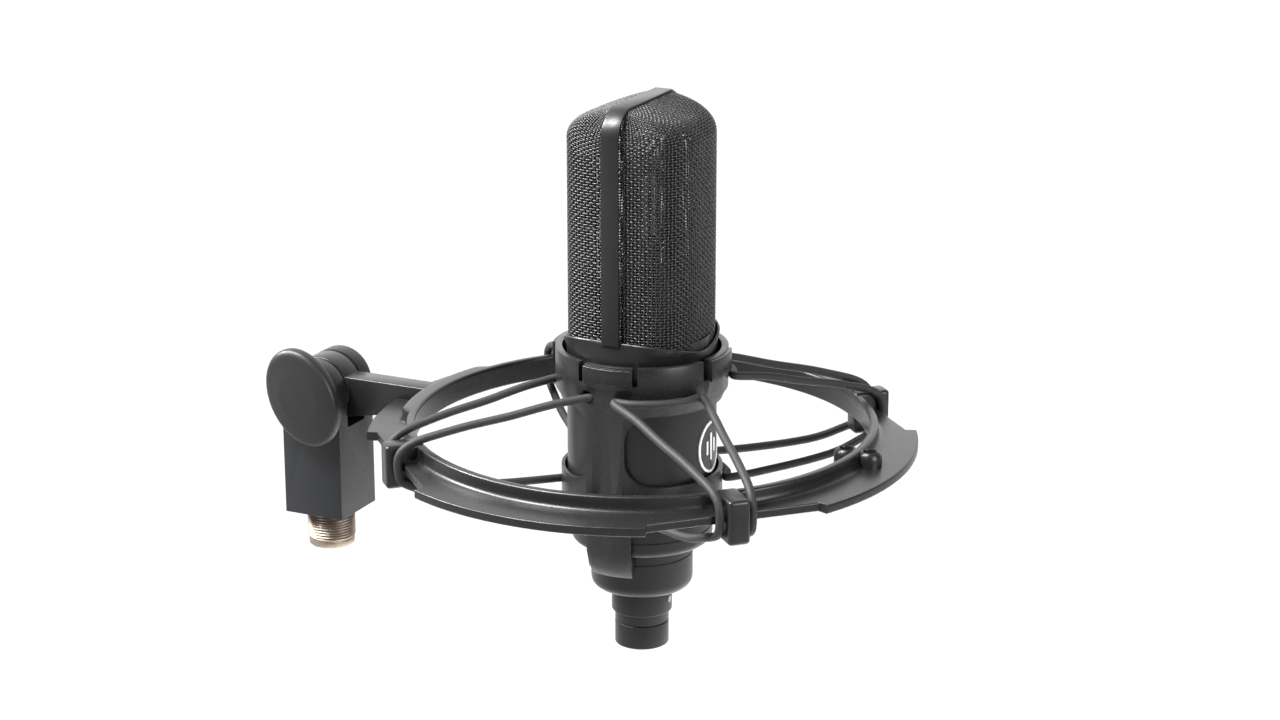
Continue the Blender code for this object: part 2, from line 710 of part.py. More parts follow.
def ribbon_motor():
    frame = add_object("motor_frame", box_mesh("motor_frame",
                                               (-motor_half_width, -motor_half_depth, motor_bottom),
                                               (motor_half_width, motor_half_depth, motor_top)),
                       black_paint, mic_centre)
    window_low = motor_bottom + motor_rail
    window_high = motor_top - motor_rail
    combine(frame, box_mesh("motor_window", (-motor_window_half_width, -2 * motor_half_depth, window_low),
                            (motor_window_half_width, 2 * motor_half_depth, window_high)),
            "DIFFERENCE", mic_centre)
    outer = motor_window_half_width - gap
    half_depth = motor_half_depth - magnet_recess
    for side, name in ((-1, "magnet_left"), (1, "magnet_right")):
        near, far = sorted((side * outer, side * (outer - magnet_width)))
        add_object(name, box_mesh(name, (near, -half_depth, window_low + gap),
                                  (far, half_depth, window_high - gap)), magnet_metal, mic_centre)
    half_clamp = ribbon_width / 2 + gap
    clamps = {"ribbon_clamp_bottom": window_low + gap,
              "ribbon_clamp_top": window_high - gap - clamp_height}
    for name, low in clamps.items():
        add_object(name, box_mesh(name, (-half_clamp, -clamp_half_depth, low),
                                  (half_clamp, clamp_half_depth, low + clamp_height)),
                   steel, mic_centre)
    low = window_low + 2 * gap + clamp_height
    high = window_high - 2 * gap - clamp_height
    folds = int((high - low) / (ribbon_fold / 2))
    side = []
    for fold in range(folds + 1):
        bend = ribbon_fold_depth / 2 * (1 if fold % 2 else -1)
        side.append((bend, low + (high - low) * fold / folds))
    outline = [(y + ribbon_thickness / 2, z) for y, z in side]
    outline += [(y - ribbon_thickness / 2, z) for y, z in reversed(side)]
    ribbon = extruded("ribbon", outline, -ribbon_width / 2, ribbon_width / 2)
    ribbon.transform(Matrix(((0, 0, 1, 0), (1, 0, 0, 0), (0, 1, 0, 0), (0, 0, 0, 1))))
    add_object("ribbon", ribbon, ribbon_metal, mic_centre)


def motor_stand():
    """The block that carries the motor, with a neck up to each end of the motor's frame."""
    low = body_top + gap
    stand = add_object("motor_stand", box_mesh("motor_stand", (-stand_half_width, -stand_half_depth, low),
                                               (stand_half_width, stand_half_depth, stand_block_top)),
                       black_plastic, mic_centre)
    for side in (-1, 1):
        near, far = sorted((side * motor_half_width, side * (motor_half_width - stand_neck_width)))
        combine(stand, box_mesh("neck", (near, -motor_half_depth, low + gap),
                                (far, motor_half_depth, motor_bottom - gap)), "UNION", mic_centre)


def body_inside():
    inner = body_radius - body_wall - gap
    plate_top = body_top - gap
    plate_low = plate_top - head_plate_thickness
    add_object("head_plate", turned("head_plate", [(0, plate_low), (inner, plate_low),
                                                   (inner, plate_top), (0, plate_top)]),
               steel, mic_centre)
    base_low = body_bottom - gap - base_plate_thickness
    radius = base_radius - base_wall - gap
    add_object("base_plate", turned("base_plate", [(0, base_low), (radius, base_low),
                                                   (radius, base_low + base_plate_thickness),
                                                   (0, base_low + base_plate_thickness)]),
               steel, mic_centre)
    rod_low = base_low + base_plate_thickness + gap
    rod = [(0, rod_low), (rod_radius, rod_low), (rod_radius, plate_low - gap), (0, plate_low - gap)]
    for side, name in ((-1, "chassis_rod_left"), (1, "chassis_rod_right")):
        add_object(name, turned(name, rod, 16), steel, mic_centre + Vector((side * rod_offset, 0, 0)))
    low = rod_low
    high = low + transformer_height
    can = [(0, low), (transformer_radius, low), (transformer_radius, high - transformer_edge),
           (transformer_radius - transformer_edge, high), (0, high)]
    centre = mic_centre + Vector((0, board_offset - transformer_radius - 2 * gap, 0))
    add_object("output_transformer", turned("output_transformer", can, 32), steel, centre)
    add_object("circuit_board", box_mesh("circuit_board", (-board_width / 2, board_offset, board_bottom),
                                         (board_width / 2, board_offset + board_thickness, board_top)),
               board_green, mic_centre)


# ---- cradle

def cradle():
    rim_inner = cradle_rim_radius - cradle_rim_wall
    profile = [(cradle_radius, cradle_bottom), (cradle_outer_radius, cradle_bottom),
               (cradle_outer_radius, cradle_rim_bottom - cradle_rim_taper),
               (cradle_rim_radius, cradle_rim_bottom), (cradle_rim_radius, cradle_top),
               (rim_inner, cradle_top), (rim_inner, cradle_rim_bottom + cradle_rim_taper * 2),
               (cradle_radius, cradle_rim_bottom + cradle_rim_taper)]
    piece = add_object("cradle", turned("cradle", profile, 60), black_plastic, mic_centre)
    far = 2 * cradle_rim_radius
    corner = window_corner_radius
    for side in (-1, 1):
        # (y, z) outline of a window, round at the pillars, stretched along X
        outline = [(far, window_bottom)]
        outline += [(far, window_top)]
        outline += arc((window_from_side + corner, window_top - corner), corner, pi / 2, pi, 6)
        outline += arc((window_from_side + corner, window_bottom + corner), corner, pi, 3 * pi / 2, 6)
        window = extruded("window", [(side * y, z) for y, z in outline], -far, far)
        window.transform(Matrix(((0, 0, 1, 0), (1, 0, 0, 0), (0, 1, 0, 0), (0, 0, 0, 1))))
        combine(piece, window, "DIFFERENCE", mic_centre)
    embed = cradle_rim_radius - cradle_rim_wall / 2
    tab = [(embed, cradle_top - tab_height), (cradle_rim_radius + tab_proud, cradle_top - tab_height),
           (cradle_rim_radius + tab_proud, cradle_top - gap), (embed, cradle_top - gap)]
    notch = box_mesh("notch", (cradle_radius / 2, -notch_width / 2, cradle_top - notch_depth),
                     (far, notch_width / 2, cradle_top + notch_depth))
    for quarter in range(4):
        axis = quarter * pi / 2
        combine(piece, band("tab", tab, axis + tab_start, axis + tab_end, 6), "UNION", mic_centre)
        cut = notch.copy()
        cut.transform(Matrix.Rotation(axis + notch_angle, 4, "Z"))
        combine(piece, cut, "DIFFERENCE", mic_centre)
    foot_top = base_bottom - gap
    foot_inner = stem_radius + 3 * gap
    bend_top = base_bottom + tongue_bend_above
    tongue = [(cradle_outer_radius, cradle_bottom + cradle_wall), (cradle_outer_radius, bend_top),
              (cradle_outer_radius - cradle_wall, base_bottom - tongue_bend_below),
              (base_radius, tongue_foot_bottom),
              (foot_inner, tongue_foot_bottom), (foot_inner, foot_top),
              (base_radius - gap, foot_top), (cradle_radius, bend_top + gap),
              (cradle_radius, cradle_bottom + cradle_wall)]
    for axis in (0, pi):
        combine(piece, band("tongue", tongue, axis - tongue_half_angle, axis + tongue_half_angle, 8),
                "UNION", mic_centre)
    hole_radius = cord_radius + cord_hole_clearance
    for lug in ("rear_left", "rear_right"):
        for angle in cord_feet(lug):
            # each hole follows its strand, which leaves the cradle at a slant
            foot = Vector((cradle_radius * cos(angle), cradle_radius * sin(angle), 0))
            away = Vector((*groove_point(lug, angle), 0)) - foot
            for height in (cord_upper, cord_lower):
                hole = turned("cord_hole", [(0, -far / 8), (hole_radius, -far / 8),
                                            (hole_radius, far / 4), (0, far / 4)], 12)
                along_x(hole).transform(Matrix.Rotation(atan2(away.y, away.x), 4, "Z"))
                combine(piece, hole, "DIFFERENCE", mic_centre + foot + Vector((0, 0, height)))


# ---- elastic cords

def cord_feet(lug):
    """The two angles on the cradle where a lug's strands leave it, side strand first."""
    across, along = lug_signs(lug)
    side = atan2(along * sin(cord_side_angle), across * cos(cord_side_angle))
    end = atan2(along * cos(cord_front_angle), across * sin(cord_front_angle))
    return [side, end]


def lug_signs(lug):
    angle = lug_angles[lug]
    return (1 if cos(angle) > 0 else -1), (1 if sin(angle) > 0 else -1)


def groove_point(lug, foot_angle):
    """Where a strand runs down beside its lug, in plan."""
    angle = lug_angles[lug]
    turn = (foot_angle - angle + pi) % (2 * pi) - pi
    beside = lug_width / 2 + cord_radius + cord_clearance
    reach = flange_flat + cord_radius + cord_clearance
    offset = beside if turn > 0 else -beside
    return (reach * cos(angle) - offset * sin(angle), reach * sin(angle) + offset * cos(angle))


def strand(lug, foot_angle, start_radius, foot_height, groove_height, way):
    foot = (start_radius * cos(foot_angle), start_radius * sin(foot_angle))
    groove = groove_point(lug, foot_angle)
    return [Vector((foot[0] + (groove[0] - foot[0]) * out, foot[1] + (groove[1] - foot[1]) * out,
                    foot_height + (groove_height - foot_height) * up)) for out, up in way]


def strands(lug, foot_angle, upper_radius, lower_radius):
    """A cord's way from the cradle out over the ring, and back to the cradle under it."""
    over = mic_below_ring_top - 0.4 * ring_height
    under = mic_below_ring_top - 0.93 * ring_height
    return (strand(lug, foot_angle, upper_radius, cord_upper, over, upper_way)
            + strand(lug, foot_angle, lower_radius, cord_lower, under, lower_way))


def run(start, end, radius, height):
    """The stretch of a cord that lies round the cradle."""
    turn = (end - start + pi) % (2 * pi) - pi
    steps = 5
    return [Vector((radius * cos(start + turn * step / steps), radius * sin(start + turn * step / steps),
                    height)) for step in range(1, steps)]


def smooth_way(points, closed, spacing):
    """A curve through the route's own points, as evenly spaced points on it."""
    count = len(points)
    spans = count if closed else count - 1
    fine = []
    for span in range(spans):
        def at(offset):
            index = span + offset
            return points[index % count] if closed else points[max(0, min(count - 1, index))]
        p0, p1, p2, p3 = at(-1), at(0), at(1), at(2)
        for step in range(8):
            t = step / 8
            fine.append(0.5 * (2 * p1 + (p2 - p0) * t + (2 * p0 - 5 * p1 + 4 * p2 - p3) * t * t
                               + (3 * p1 - p0 - 3 * p2 + p3) * t * t * t))
    if not closed:
        fine.append(points[-1])
    ends = fine + fine[:1] if closed else fine
    lengths = [(b - a).length for a, b in zip(ends, ends[1:])]
    pieces = max(8, ceil(sum(lengths) / spacing))
    even = []
    travelled = 0.0
    index = 0
    for piece in range(pieces + (0 if closed else 1)):
        target = sum(lengths) * piece / pieces
        while index < len(lengths) - 1 and travelled + lengths[index] < target:
            travelled += lengths[index]
            index += 1
        share = (target - travelled) / lengths[index]
        even.append(ends[index].lerp(ends[index + 1], min(1.0, share)))
    return even


def cord(name, points, closed):
    curve = bpy.data.curves.new(name, "CURVE")
    curve.dimensions = "3D"
    curve.bevel_depth = cord_radius
    curve.bevel_resolution = 2
    curve.use_fill_caps = not closed
    line = curve.splines.new("POLY")
    way = smooth_way(points, closed, 4 * cord_radius)
    line.points.add(len(way) - 1)
    for point, place in zip(line.points, way):
        point.co = (*place, 1)
    line.use_cyclic_u = closed
    curve.materials.append(cord_rubber)
    thing = bpy.data.objects.new(name, curve)
    bpy.context.scene.collection.objects.link(thing)
    thing.location = mic_centre


def elastic_cords():
    clear = cord_radius + cord_run_clearance
    upper_radius = cradle_rim_radius + clear
    lower_radius = cradle_outer_radius + clear
    for lug in ("front_left", "front_right"):
        side, end = cord_feet(lug)
        points = strands(lug, side, upper_radius, lower_radius)
        points += run(side, end, lower_radius, cord_lower)
        points += list(reversed(strands(lug, end, upper_radius, lower_radius)))
        points += run(end, side, upper_radius, cord_upper)
        cord(f"elastic_cord_{lug}", points, True)
    inside = cradle_radius + gap
    for lug in ("rear_left", "rear_right"):
        for angle, which in zip(cord_feet(lug), ("side", "end")):
            cord(f"elastic_cord_{lug}_{which}", strands(lug, angle, inside, inside), False)


stand_block()
stand_bush()
washers()
clamp_knob()
clamp_bolt()
ring_frame()
base_housing()
connector()
body_tube()
front_badge()
grille_half("grille_front", -1)
grille_half("grille_rear", 1)
grille_strap()
ribbon_motor()
motor_stand()
body_inside()
cradle()
elastic_cords()
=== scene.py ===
from math import atan2, cos, exp, hypot, log, pi, radians, sin, sqrt

import bpy
from mathutils import Matrix, Vector


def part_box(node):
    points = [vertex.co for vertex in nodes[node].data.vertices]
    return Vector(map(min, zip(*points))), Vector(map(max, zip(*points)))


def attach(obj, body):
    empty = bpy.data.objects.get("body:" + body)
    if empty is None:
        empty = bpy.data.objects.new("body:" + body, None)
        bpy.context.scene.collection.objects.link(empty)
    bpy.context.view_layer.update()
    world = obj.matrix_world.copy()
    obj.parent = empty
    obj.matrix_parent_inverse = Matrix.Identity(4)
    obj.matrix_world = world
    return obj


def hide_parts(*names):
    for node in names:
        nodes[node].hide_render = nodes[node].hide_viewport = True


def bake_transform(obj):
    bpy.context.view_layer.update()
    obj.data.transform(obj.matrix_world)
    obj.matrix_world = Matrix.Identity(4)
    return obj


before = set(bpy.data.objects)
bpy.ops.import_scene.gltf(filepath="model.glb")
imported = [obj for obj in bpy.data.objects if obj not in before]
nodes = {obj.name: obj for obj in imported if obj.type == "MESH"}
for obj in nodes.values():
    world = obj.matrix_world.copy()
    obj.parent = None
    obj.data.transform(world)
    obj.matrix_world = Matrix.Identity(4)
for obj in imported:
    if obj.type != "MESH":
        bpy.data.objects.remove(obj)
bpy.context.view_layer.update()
mm = 0.001


# places that the frame gives

def boxCentre(node):
    low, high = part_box(node)
    return (low + high) / 2


hinge = boxCentre("clamp_bolt")
hinge.x = 0
tube = boxCentre("body_tube")
mic = Vector((tube.x, tube.y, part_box("xlr_shell")[0].z))  # heights count from the connector's edge
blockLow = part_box("stand_block")[0]
lugAngles = {"front_left": radians(225), "front_right": radians(315),
             "rear_left": radians(135), "rear_right": radians(45)}


# helpers

def srgb(text, alpha=1.0):
    parts = [int(text[i:i + 2], 16) / 255 for i in (1, 3, 5)]
    return (*[p / 12.92 if p <= 0.04045 else ((p + 0.055) / 1.055) ** 2.4 for p in parts], alpha)


def addNode(tree, kind, settings=None, links=None):
    # settings go to a socket where the node has one of that name, and to the node itself otherwise
    node = tree.nodes.new(kind)
    for key, value in (settings or {}).items():
        if isinstance(key, str) and hasattr(node, key):
            setattr(node, key, value)
        else:
            node.inputs[key].default_value = value
    for key, output in (links or {}).items():
        tree.links.new(output, node.inputs[key])
    return node


def deselectAll():
    if bpy.context.object and bpy.context.object.mode != "OBJECT":
        bpy.ops.object.mode_set(mode="OBJECT")
    bpy.ops.object.select_all(action="DESELECT")


def makeActive(piece):
    deselectAll()
    piece.select_set(True)
    bpy.context.view_layer.objects.active = piece


def editMode(piece):
    makeActive(piece)
    bpy.ops.object.mode_set(mode="EDIT")
    bpy.ops.mesh.select_all(action="SELECT")


def objectMode():
    bpy.ops.object.mode_set(mode="OBJECT")


def cleanUp(piece, distance=0.002 * mm):
    editMode(piece)
    bpy.ops.mesh.remove_doubles(threshold=distance)
    bpy.ops.mesh.normals_make_consistent(inside=False)
    objectMode()


def settle(piece):
    # the place goes into the mesh
    makeActive(piece)
    bpy.ops.object.transform_apply(location=True, rotation=True, scale=True)


def applyModifier(piece, kind, **settings):
    makeActive(piece)
    modifier = piece.modifiers.new(kind.lower(), kind)
    for key, value in settings.items():
        setattr(modifier, key, value)
    bpy.ops.object.modifier_apply(modifier=modifier.name)


def bevelEdges(piece, width, segments=3, angle=35):
    applyModifier(piece, "BEVEL", width=width, segments=segments, limit_method="ANGLE",
                  angle_limit=radians(angle), use_clamp_overlap=True, harden_normals=False)


def smoothByAngle(piece, angle=40):
    makeActive(piece)
    bpy.ops.object.shade_smooth_by_angle(angle=radians(angle))


def cutWith(piece, cutter):
    applyModifier(piece, "BOOLEAN", operation="DIFFERENCE", solver="EXACT", object=cutter)
    bpy.data.objects.remove(cutter)


def moveVertices(piece, place):
    for vertex in piece.data.vertices:
        vertex.co = place(vertex.co)
    piece.data.update()


def rounded(points, segments=5, closed=True):
    # (r, z) corners, and (r, z, radius) corners that get a fillet
    line = []
    count = len(points)
    for index, point in enumerate(points):
        here = Vector(point[:2])
        if len(point) == 2 or (not closed and index in (0, count - 1)):
            line.append(tuple(here))
            continue
        before = Vector(points[index - 1][:2]) - here
        after = Vector(points[(index + 1) % count][:2]) - here
        turn = before.angle(after)
        reach = min(point[2] / max(1e-6, abs(sin(turn / 2) / cos(turn / 2))),
                    before.length * 0.49, after.length * 0.49)
        start, end = here + before.normalized() * reach, here + after.normalized() * reach
        for step in range(segments + 1):
            t = step / segments
            line.append(tuple(start * (1 - t) ** 2 + here * 2 * t * (1 - t) + end * t * t))
    return line


def turnedPiece(name, profile, steps, centre, closed=True):
    # a circle pulled along the profile, as a tool would follow it on a lathe
    deselectAll()
    radius, height = profile[0]
    bpy.ops.mesh.primitive_circle_add(vertices=steps, radius=radius,
                                      location=centre + Vector((0, 0, height)))
    piece = bpy.context.object
    piece.name = name
    bpy.ops.object.mode_set(mode="EDIT")
    bpy.ops.mesh.select_all(action="SELECT")
    for newRadius, newHeight in profile[1:] + (profile[:1] if closed else []):
        bpy.ops.mesh.extrude_region_move(
            TRANSFORM_OT_translate={"value": (0, 0, newHeight - height)})
        share = newRadius / radius
        bpy.ops.transform.resize(value=(share, share, 1),
                                 center_override=centre + Vector((0, 0, newHeight)))
        radius, height = newRadius, newHeight
    objectMode()
    settle(piece)
    cleanUp(piece)
    return piece


def solidTurned(name, profile, steps, centre):
    # the same with a face at each end
    piece = turnedPiece(name, profile, steps, centre, closed=False)
    editMode(piece)
    bpy.ops.mesh.select_all(action="DESELECT")
    bpy.ops.mesh.select_non_manifold()
    bpy.ops.mesh.edge_face_add()
    objectMode()
    cleanUp(piece)
    return piece


def boxPiece(name, low, high):
    deselectAll()
    low, high = Vector(low), Vector(high)
    bpy.ops.mesh.primitive_cube_add(size=1, location=(low + high) / 2, scale=high - low)
    piece = bpy.context.object
    piece.name = name
    settle(piece)
    return piece


def extrudedPiece(name, outline, depth):
    # a flat face in X and Y, drawn as its outline, pulled up along Z
    mesh = bpy.data.meshes.new(name)
    mesh.from_pydata([(x, y, 0) for x, y in outline], [], [list(range(len(outline)))])
    piece = bpy.data.objects.new(name, mesh)
    bpy.context.scene.collection.objects.link(piece)
    editMode(piece)
    bpy.ops.mesh.extrude_region_move(TRANSFORM_OT_translate={"value": (0, 0, depth)})
    objectMode()
    cleanUp(piece)
    return piece


def refinedCopy(name, node, width, segments=3, angle=35, merge=0.02 * mm, flat=2.0):
    # the frame's own shape with its edges eased, as the mould or the file leaves them
    piece = bpy.data.objects.new(name, nodes[node].data.copy())
    bpy.context.scene.collection.objects.link(piece)
    piece.data.materials.clear()
    editMode(piece)
    bpy.ops.mesh.remove_doubles(threshold=merge)
    bpy.ops.mesh.dissolve_limited(angle_limit=radians(flat), delimit=set())
    objectMode()
    if piece.data.has_custom_normals:
        makeActive(piece)
        bpy.ops.mesh.customdata_custom_splitnormals_clear()
    bevelEdges(piece, width, segments, angle)
    smoothByAngle(piece)
    return piece


def tubePiece(name, lines, radius, roundness, closed=False):
    # tubes along lines of points, all in one mesh
    curve = bpy.data.curves.new(name, "CURVE")
    curve.dimensions = "3D"
    curve.bevel_depth = radius
    curve.bevel_resolution = roundness
    curve.use_fill_caps = not closed
    for points in lines:
        line = curve.splines.new("POLY")
        line.points.add(len(points) - 1)
        for point, place in zip(line.points, points):
            point.co = (*place, 1)
        line.use_cyclic_u = closed
    piece = bpy.data.objects.new(name, curve)
    bpy.context.scene.collection.objects.link(piece)
    makeActive(piece)
    bpy.ops.object.convert(target="MESH")
    piece = bpy.context.object
    piece.data.transform(Matrix.Translation(mic))
    cleanUp(piece)
    for polygon in piece.data.polygons:
        polygon.use_smooth = True
    return piece


def finish(piece, material, body, slot, *replaced):
    piece.data.materials.clear()
    piece.data.materials.append(material)
    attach(piece, body)
    if replaced:
        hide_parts(*replaced)


# materials

def newMaterial(name, settings):
    made = bpy.data.materials.new(name)
    made.use_nodes = True
    tree = made.node_tree
    shader = tree.nodes["Principled BSDF"]
    for key, value in settings.items():
        shader.inputs[key].default_value = value
    return made, tree, shader


def grained(name, colours, roughness, grainMm, grainDepth, patchMm=9.0, edgeHighlight=0.12, **more):
    # a surface with a fine grain, a soft change of tone over it, and a painted highlight that makes
    # its edges a little paler
    made, tree, shader = newMaterial(name, {"Roughness": roughness, **more})
    place = addNode(tree, "ShaderNodeTexCoord").outputs["Object"]
    patches = addNode(tree, "ShaderNodeTexNoise", {"Scale": 1 / (patchMm * mm), "Detail": 3.0},
                      {"Vector": place})
    grain = addNode(tree, "ShaderNodeTexNoise", {"Scale": 1 / (grainMm * mm), "Detail": 2.0},
                    {"Vector": place})
    tones = addNode(tree, "ShaderNodeMix", {"data_type": "RGBA"})
    tones.inputs[6].default_value = srgb(colours[0])
    tones.inputs[7].default_value = srgb(colours[1])
    tree.links.new(patches.outputs["Fac"], tones.inputs[0])
    # painted highlight: pointed, convex edges are mixed towards the paler third colour
    edges = addNode(tree, "ShaderNodeNewGeometry").outputs["Pointiness"]
    edgeHighlightShare = addNode(tree, "ShaderNodeMapRange", {"From Min": 0.52, "From Max": 0.62,
                                                  "To Min": 0.0, "To Max": edgeHighlight}, {"Value": edges})
    edgeHighlightMix = addNode(tree, "ShaderNodeMix", {"data_type": "RGBA"})
    edgeHighlightMix.inputs[7].default_value = srgb(colours[2])
    tree.links.new(edgeHighlightShare.outputs["Result"], edgeHighlightMix.inputs[0])
    tree.links.new(tones.outputs[2], edgeHighlightMix.inputs[6])
    tree.links.new(edgeHighlightMix.outputs[2], shader.inputs["Base Color"])
    shine = addNode(tree, "ShaderNodeMapRange", {"From Min": 0.3, "From Max": 0.7,
                                                 "To Min": roughness - 0.05,
                                                 "To Max": roughness + 0.07},
                    {"Value": grain.outputs["Fac"]})
    tree.links.new(shine.outputs["Result"], shader.inputs["Roughness"])
    bump = addNode(tree, "ShaderNodeBump", {"Strength": 0.6, "Distance": grainDepth * mm},
                   {"Height": grain.outputs["Fac"]})
    tree.links.new(bump.outputs["Normal"], shader.inputs["Normal"])
    return made


# baked satin enamel on brass tube: even, with a fine spray grain and a soft sheen
satinEnamel = grained("satinEnamel", ("#101011", "#151516", "#333334"), 0.34, 0.5, 0.012,
                      IOR=1.37)
# glass-filled nylon from a spark-eroded mould: matt, a little blotchy, edges catch the light
mouldedNylon = grained("mouldedNylon", ("#111112", "#171718", "#363637"), 0.31, 0.6, 0.018,
                       IOR=1.37)
# the block's die casting under black powder coat: coarser grain than the enamel
powderCoat = grained("powderCoat", ("#131416", "#18191b", "#323335"), 0.42, 0.8, 0.03, IOR=1.37)
# soft-touch moulding of the knob
softMoulding = grained("softMoulding", ("#18181a", "#1e1e1f", "#363637"), 0.42, 0.5, 0.015,
                       IOR=1.37)
# enamelled steel wire, drawn and woven
enamelledWire = grained("enamelledWire", ("#0d0d0e", "#131314", "#3c3c3d"), 0.26, 1.0, 0.01,
                        patchMm=4.0, edgeHighlight=0.3, IOR=1.43)
# turned brass under nickel: warm, lightly brushed round the axis
nickelPlate = grained("nickelPlate", ("#9c8f82", "#84796e", "#c0b5aa"), 0.47, 0.7, 0.01,
                      patchMm=5.0, edgeHighlight=0.4, Metallic=1.0)
# zinc-plated steel of the fasteners and plates
zincSteel = grained("zincSteel", ("#8f9194", "#a5a7aa", "#c8c9cb"), 0.33, 0.5, 0.01, Metallic=1.0)
# sintered magnets under bright nickel
magnetPlate = grained("magnetPlate", ("#9a9a9c", "#aaaaac", "#c8c8c8"), 0.25, 0.6, 0.005,
                      Metallic=1.0)
# corrugated aluminium foil
ribbonFoil = grained("ribbonFoil", ("#d6d7d9", "#e2e3e5", "#f0f0f0"), 0.25, 0.5, 0.004,
                     Metallic=1.0)
# grey lacquer on the transformer's can
canLacquer = grained("canLacquer", ("#6b6d70", "#75777a", "#8d8f92"), 0.45, 0.8, 0.01)
# green solder resist over glass weave
solderResist = grained("solderResist", ("#1d4a2c", "#235634", "#3c7550"), 0.35, 0.9, 0.008)
# elastic core in a close braided cover: dull, a little paler than the mouldings
braidedCord = grained("braidedCord", ("#161617", "#1c1c1d", "#323234"), 0.64, 0.45, 0.05,
                      patchMm=2.0, edgeHighlight=0.1, IOR=1.4)
# gloss enamel field and pale rim of the badge
badgeBlack = grained("badgeBlack", ("#0e0e10", "#121214", "#303033"), 0.22, 0.6, 0.003)
badgeWhite = grained("badgeWhite", ("#dcdcdc", "#e8e8e8", "#f4f4f4"), 0.4, 0.6, 0.003)

for node, material in {"clamp_bolt": zincSteel, "clamp_nut": zincSteel, "washer_left": zincSteel,
                       "washer_right": zincSteel, "connector_screw": zincSteel,
                       "xlr_insert": mouldedNylon, "xlr_pin_1": nickelPlate,
                       "xlr_pin_2": nickelPlate, "xlr_pin_3": nickelPlate,
                       "head_plate": satinEnamel, "base_plate": zincSteel,
                       "chassis_rod_left": zincSteel, "chassis_rod_right": zincSteel,
                       "output_transformer": canLacquer, "circuit_board": solderResist,
                       "motor_stand": mouldedNylon, "motor_frame": satinEnamel,
                       "magnet_left": magnetPlate, "magnet_right": magnetPlate,
                       "ribbon": ribbonFoil, "ribbon_clamp_top": zincSteel,
                       "ribbon_clamp_bottom": zincSteel}.items():
    nodes[node].data.materials.clear()
    nodes[node].data.materials.append(material)
print("materials made")


# camera, light and floor

cameraPlan = {"azimuth": radians(-64.73), "elevation": radians(17.32), "distance": 0.88815,
              "aim": (-0.00027, 0.00056, 0.09417), "lens": 80.12}
back = Vector((sin(cameraPlan["azimuth"]) * cos(cameraPlan["elevation"]),
               -cos(cameraPlan["azimuth"]) * cos(cameraPlan["elevation"]),
               sin(cameraPlan["elevation"])))
cameraData = bpy.data.cameras.new("camera")
cameraData.lens = cameraPlan["lens"]
cameraData.sensor_width = 36
cameraData.clip_start = 0.01
camera = bpy.data.objects.new("camera", cameraData)
bpy.context.scene.collection.objects.link(camera)
camera.location = mic + Vector(cameraPlan["aim"]) + back * cameraPlan["distance"]
camera.rotation_euler = back.to_track_quat("Z", "Y").to_euler()
bpy.context.scene.camera = camera

aim = mic + Vector((0, 0.03, 0.07))
lightPlan = {  # azimuth and elevation in degrees, distance, size, watts, spread in degrees
    "rightWindow": (-18, 18, 1.1, 0.6, 2.4, 70),
    "leftEdge": (-134, 56, 1.2, 0.6, 3.7, 34),
    "rearEdge": (-166, 36, 1.2, 0.5, 2.7, 34),
}


def lightDirection(azimuth, elevation):
    # azimuth 0 is in front of the microphone, and grows towards its left
    return Vector((sin(radians(azimuth)) * cos(radians(elevation)),
                   -cos(radians(azimuth)) * cos(radians(elevation)), sin(radians(elevation))))


for name, (azimuth, elevation, distance, size, watts, spread) in lightPlan.items():
    data = bpy.data.lights.new(name, "AREA")
    data.energy = watts
    data.size = size
    data.spread = radians(spread)
    light = bpy.data.objects.new(name, data)
    bpy.context.scene.collection.objects.link(light)
    away = lightDirection(azimuth, elevation)
    light.location = aim + away * distance
    light.rotation_euler = away.to_track_quat("Z", "Y").to_euler()

overhead = {"azimuth": -146, "elevation": 62, "strength": 1.9, "angle": radians(30)}
data = bpy.data.lights.new("overhead", "SUN")
data.energy = overhead["strength"]
data.angle = overhead["angle"]
light = bpy.data.objects.new("overhead", data)
bpy.context.scene.collection.objects.link(light)
light.rotation_euler = lightDirection(overhead["azimuth"], overhead["elevation"]).to_track_quat(
    "Z", "Y").to_euler()

# the room is paler beyond the object than on the camera's side
room = {"near": 0.12, "far": 2.0, "toFar": (0.86, 0.41, 0.3)}
world = bpy.data.worlds.new("studio")
world.use_nodes = True
tree = world.node_tree
place = addNode(tree, "ShaderNodeTexCoord").outputs["Generated"]
facing = addNode(tree, "ShaderNodeVectorMath", {"operation": "DOT_PRODUCT"})
tree.links.new(place, facing.inputs[0])
facing.inputs[1].default_value = room["toFar"]
fade = addNode(tree, "ShaderNodeMapRange", {"From Min": 0.3, "From Max": 1.0,
                                            "To Min": room["near"], "To Max": room["far"]},
               {"Value": facing.outputs["Value"]})
tree.links.new(fade.outputs["Result"], tree.nodes["Background"].inputs["Strength"])
tree.nodes["Background"].inputs["Color"].default_value = (1, 1, 1, 1)
bpy.context.scene.world = world
bpy.context.scene.view_settings.view_transform = "Standard"

deselectAll()
bpy.ops.mesh.primitive_plane_add(size=14, location=(0, 0, mic.z - 0.35))
floorPlane = bpy.context.object
floorPlane.name = "floor"
floorPaint, tree, shader = newMaterial("floorPaint", {"Roughness": 0.9})
shader.inputs["Base Color"].default_value = srgb("#fdfdfd")
floorPlane.data.materials.append(floorPaint)
print("camera, light and floor made")


# stand block, bush and knob

standBlock = refinedCopy("standBlock", "stand_block", 0.7 * mm, 3, 35)
finish(standBlock, powderCoat, "clamp", "black_paint", "stand_block")

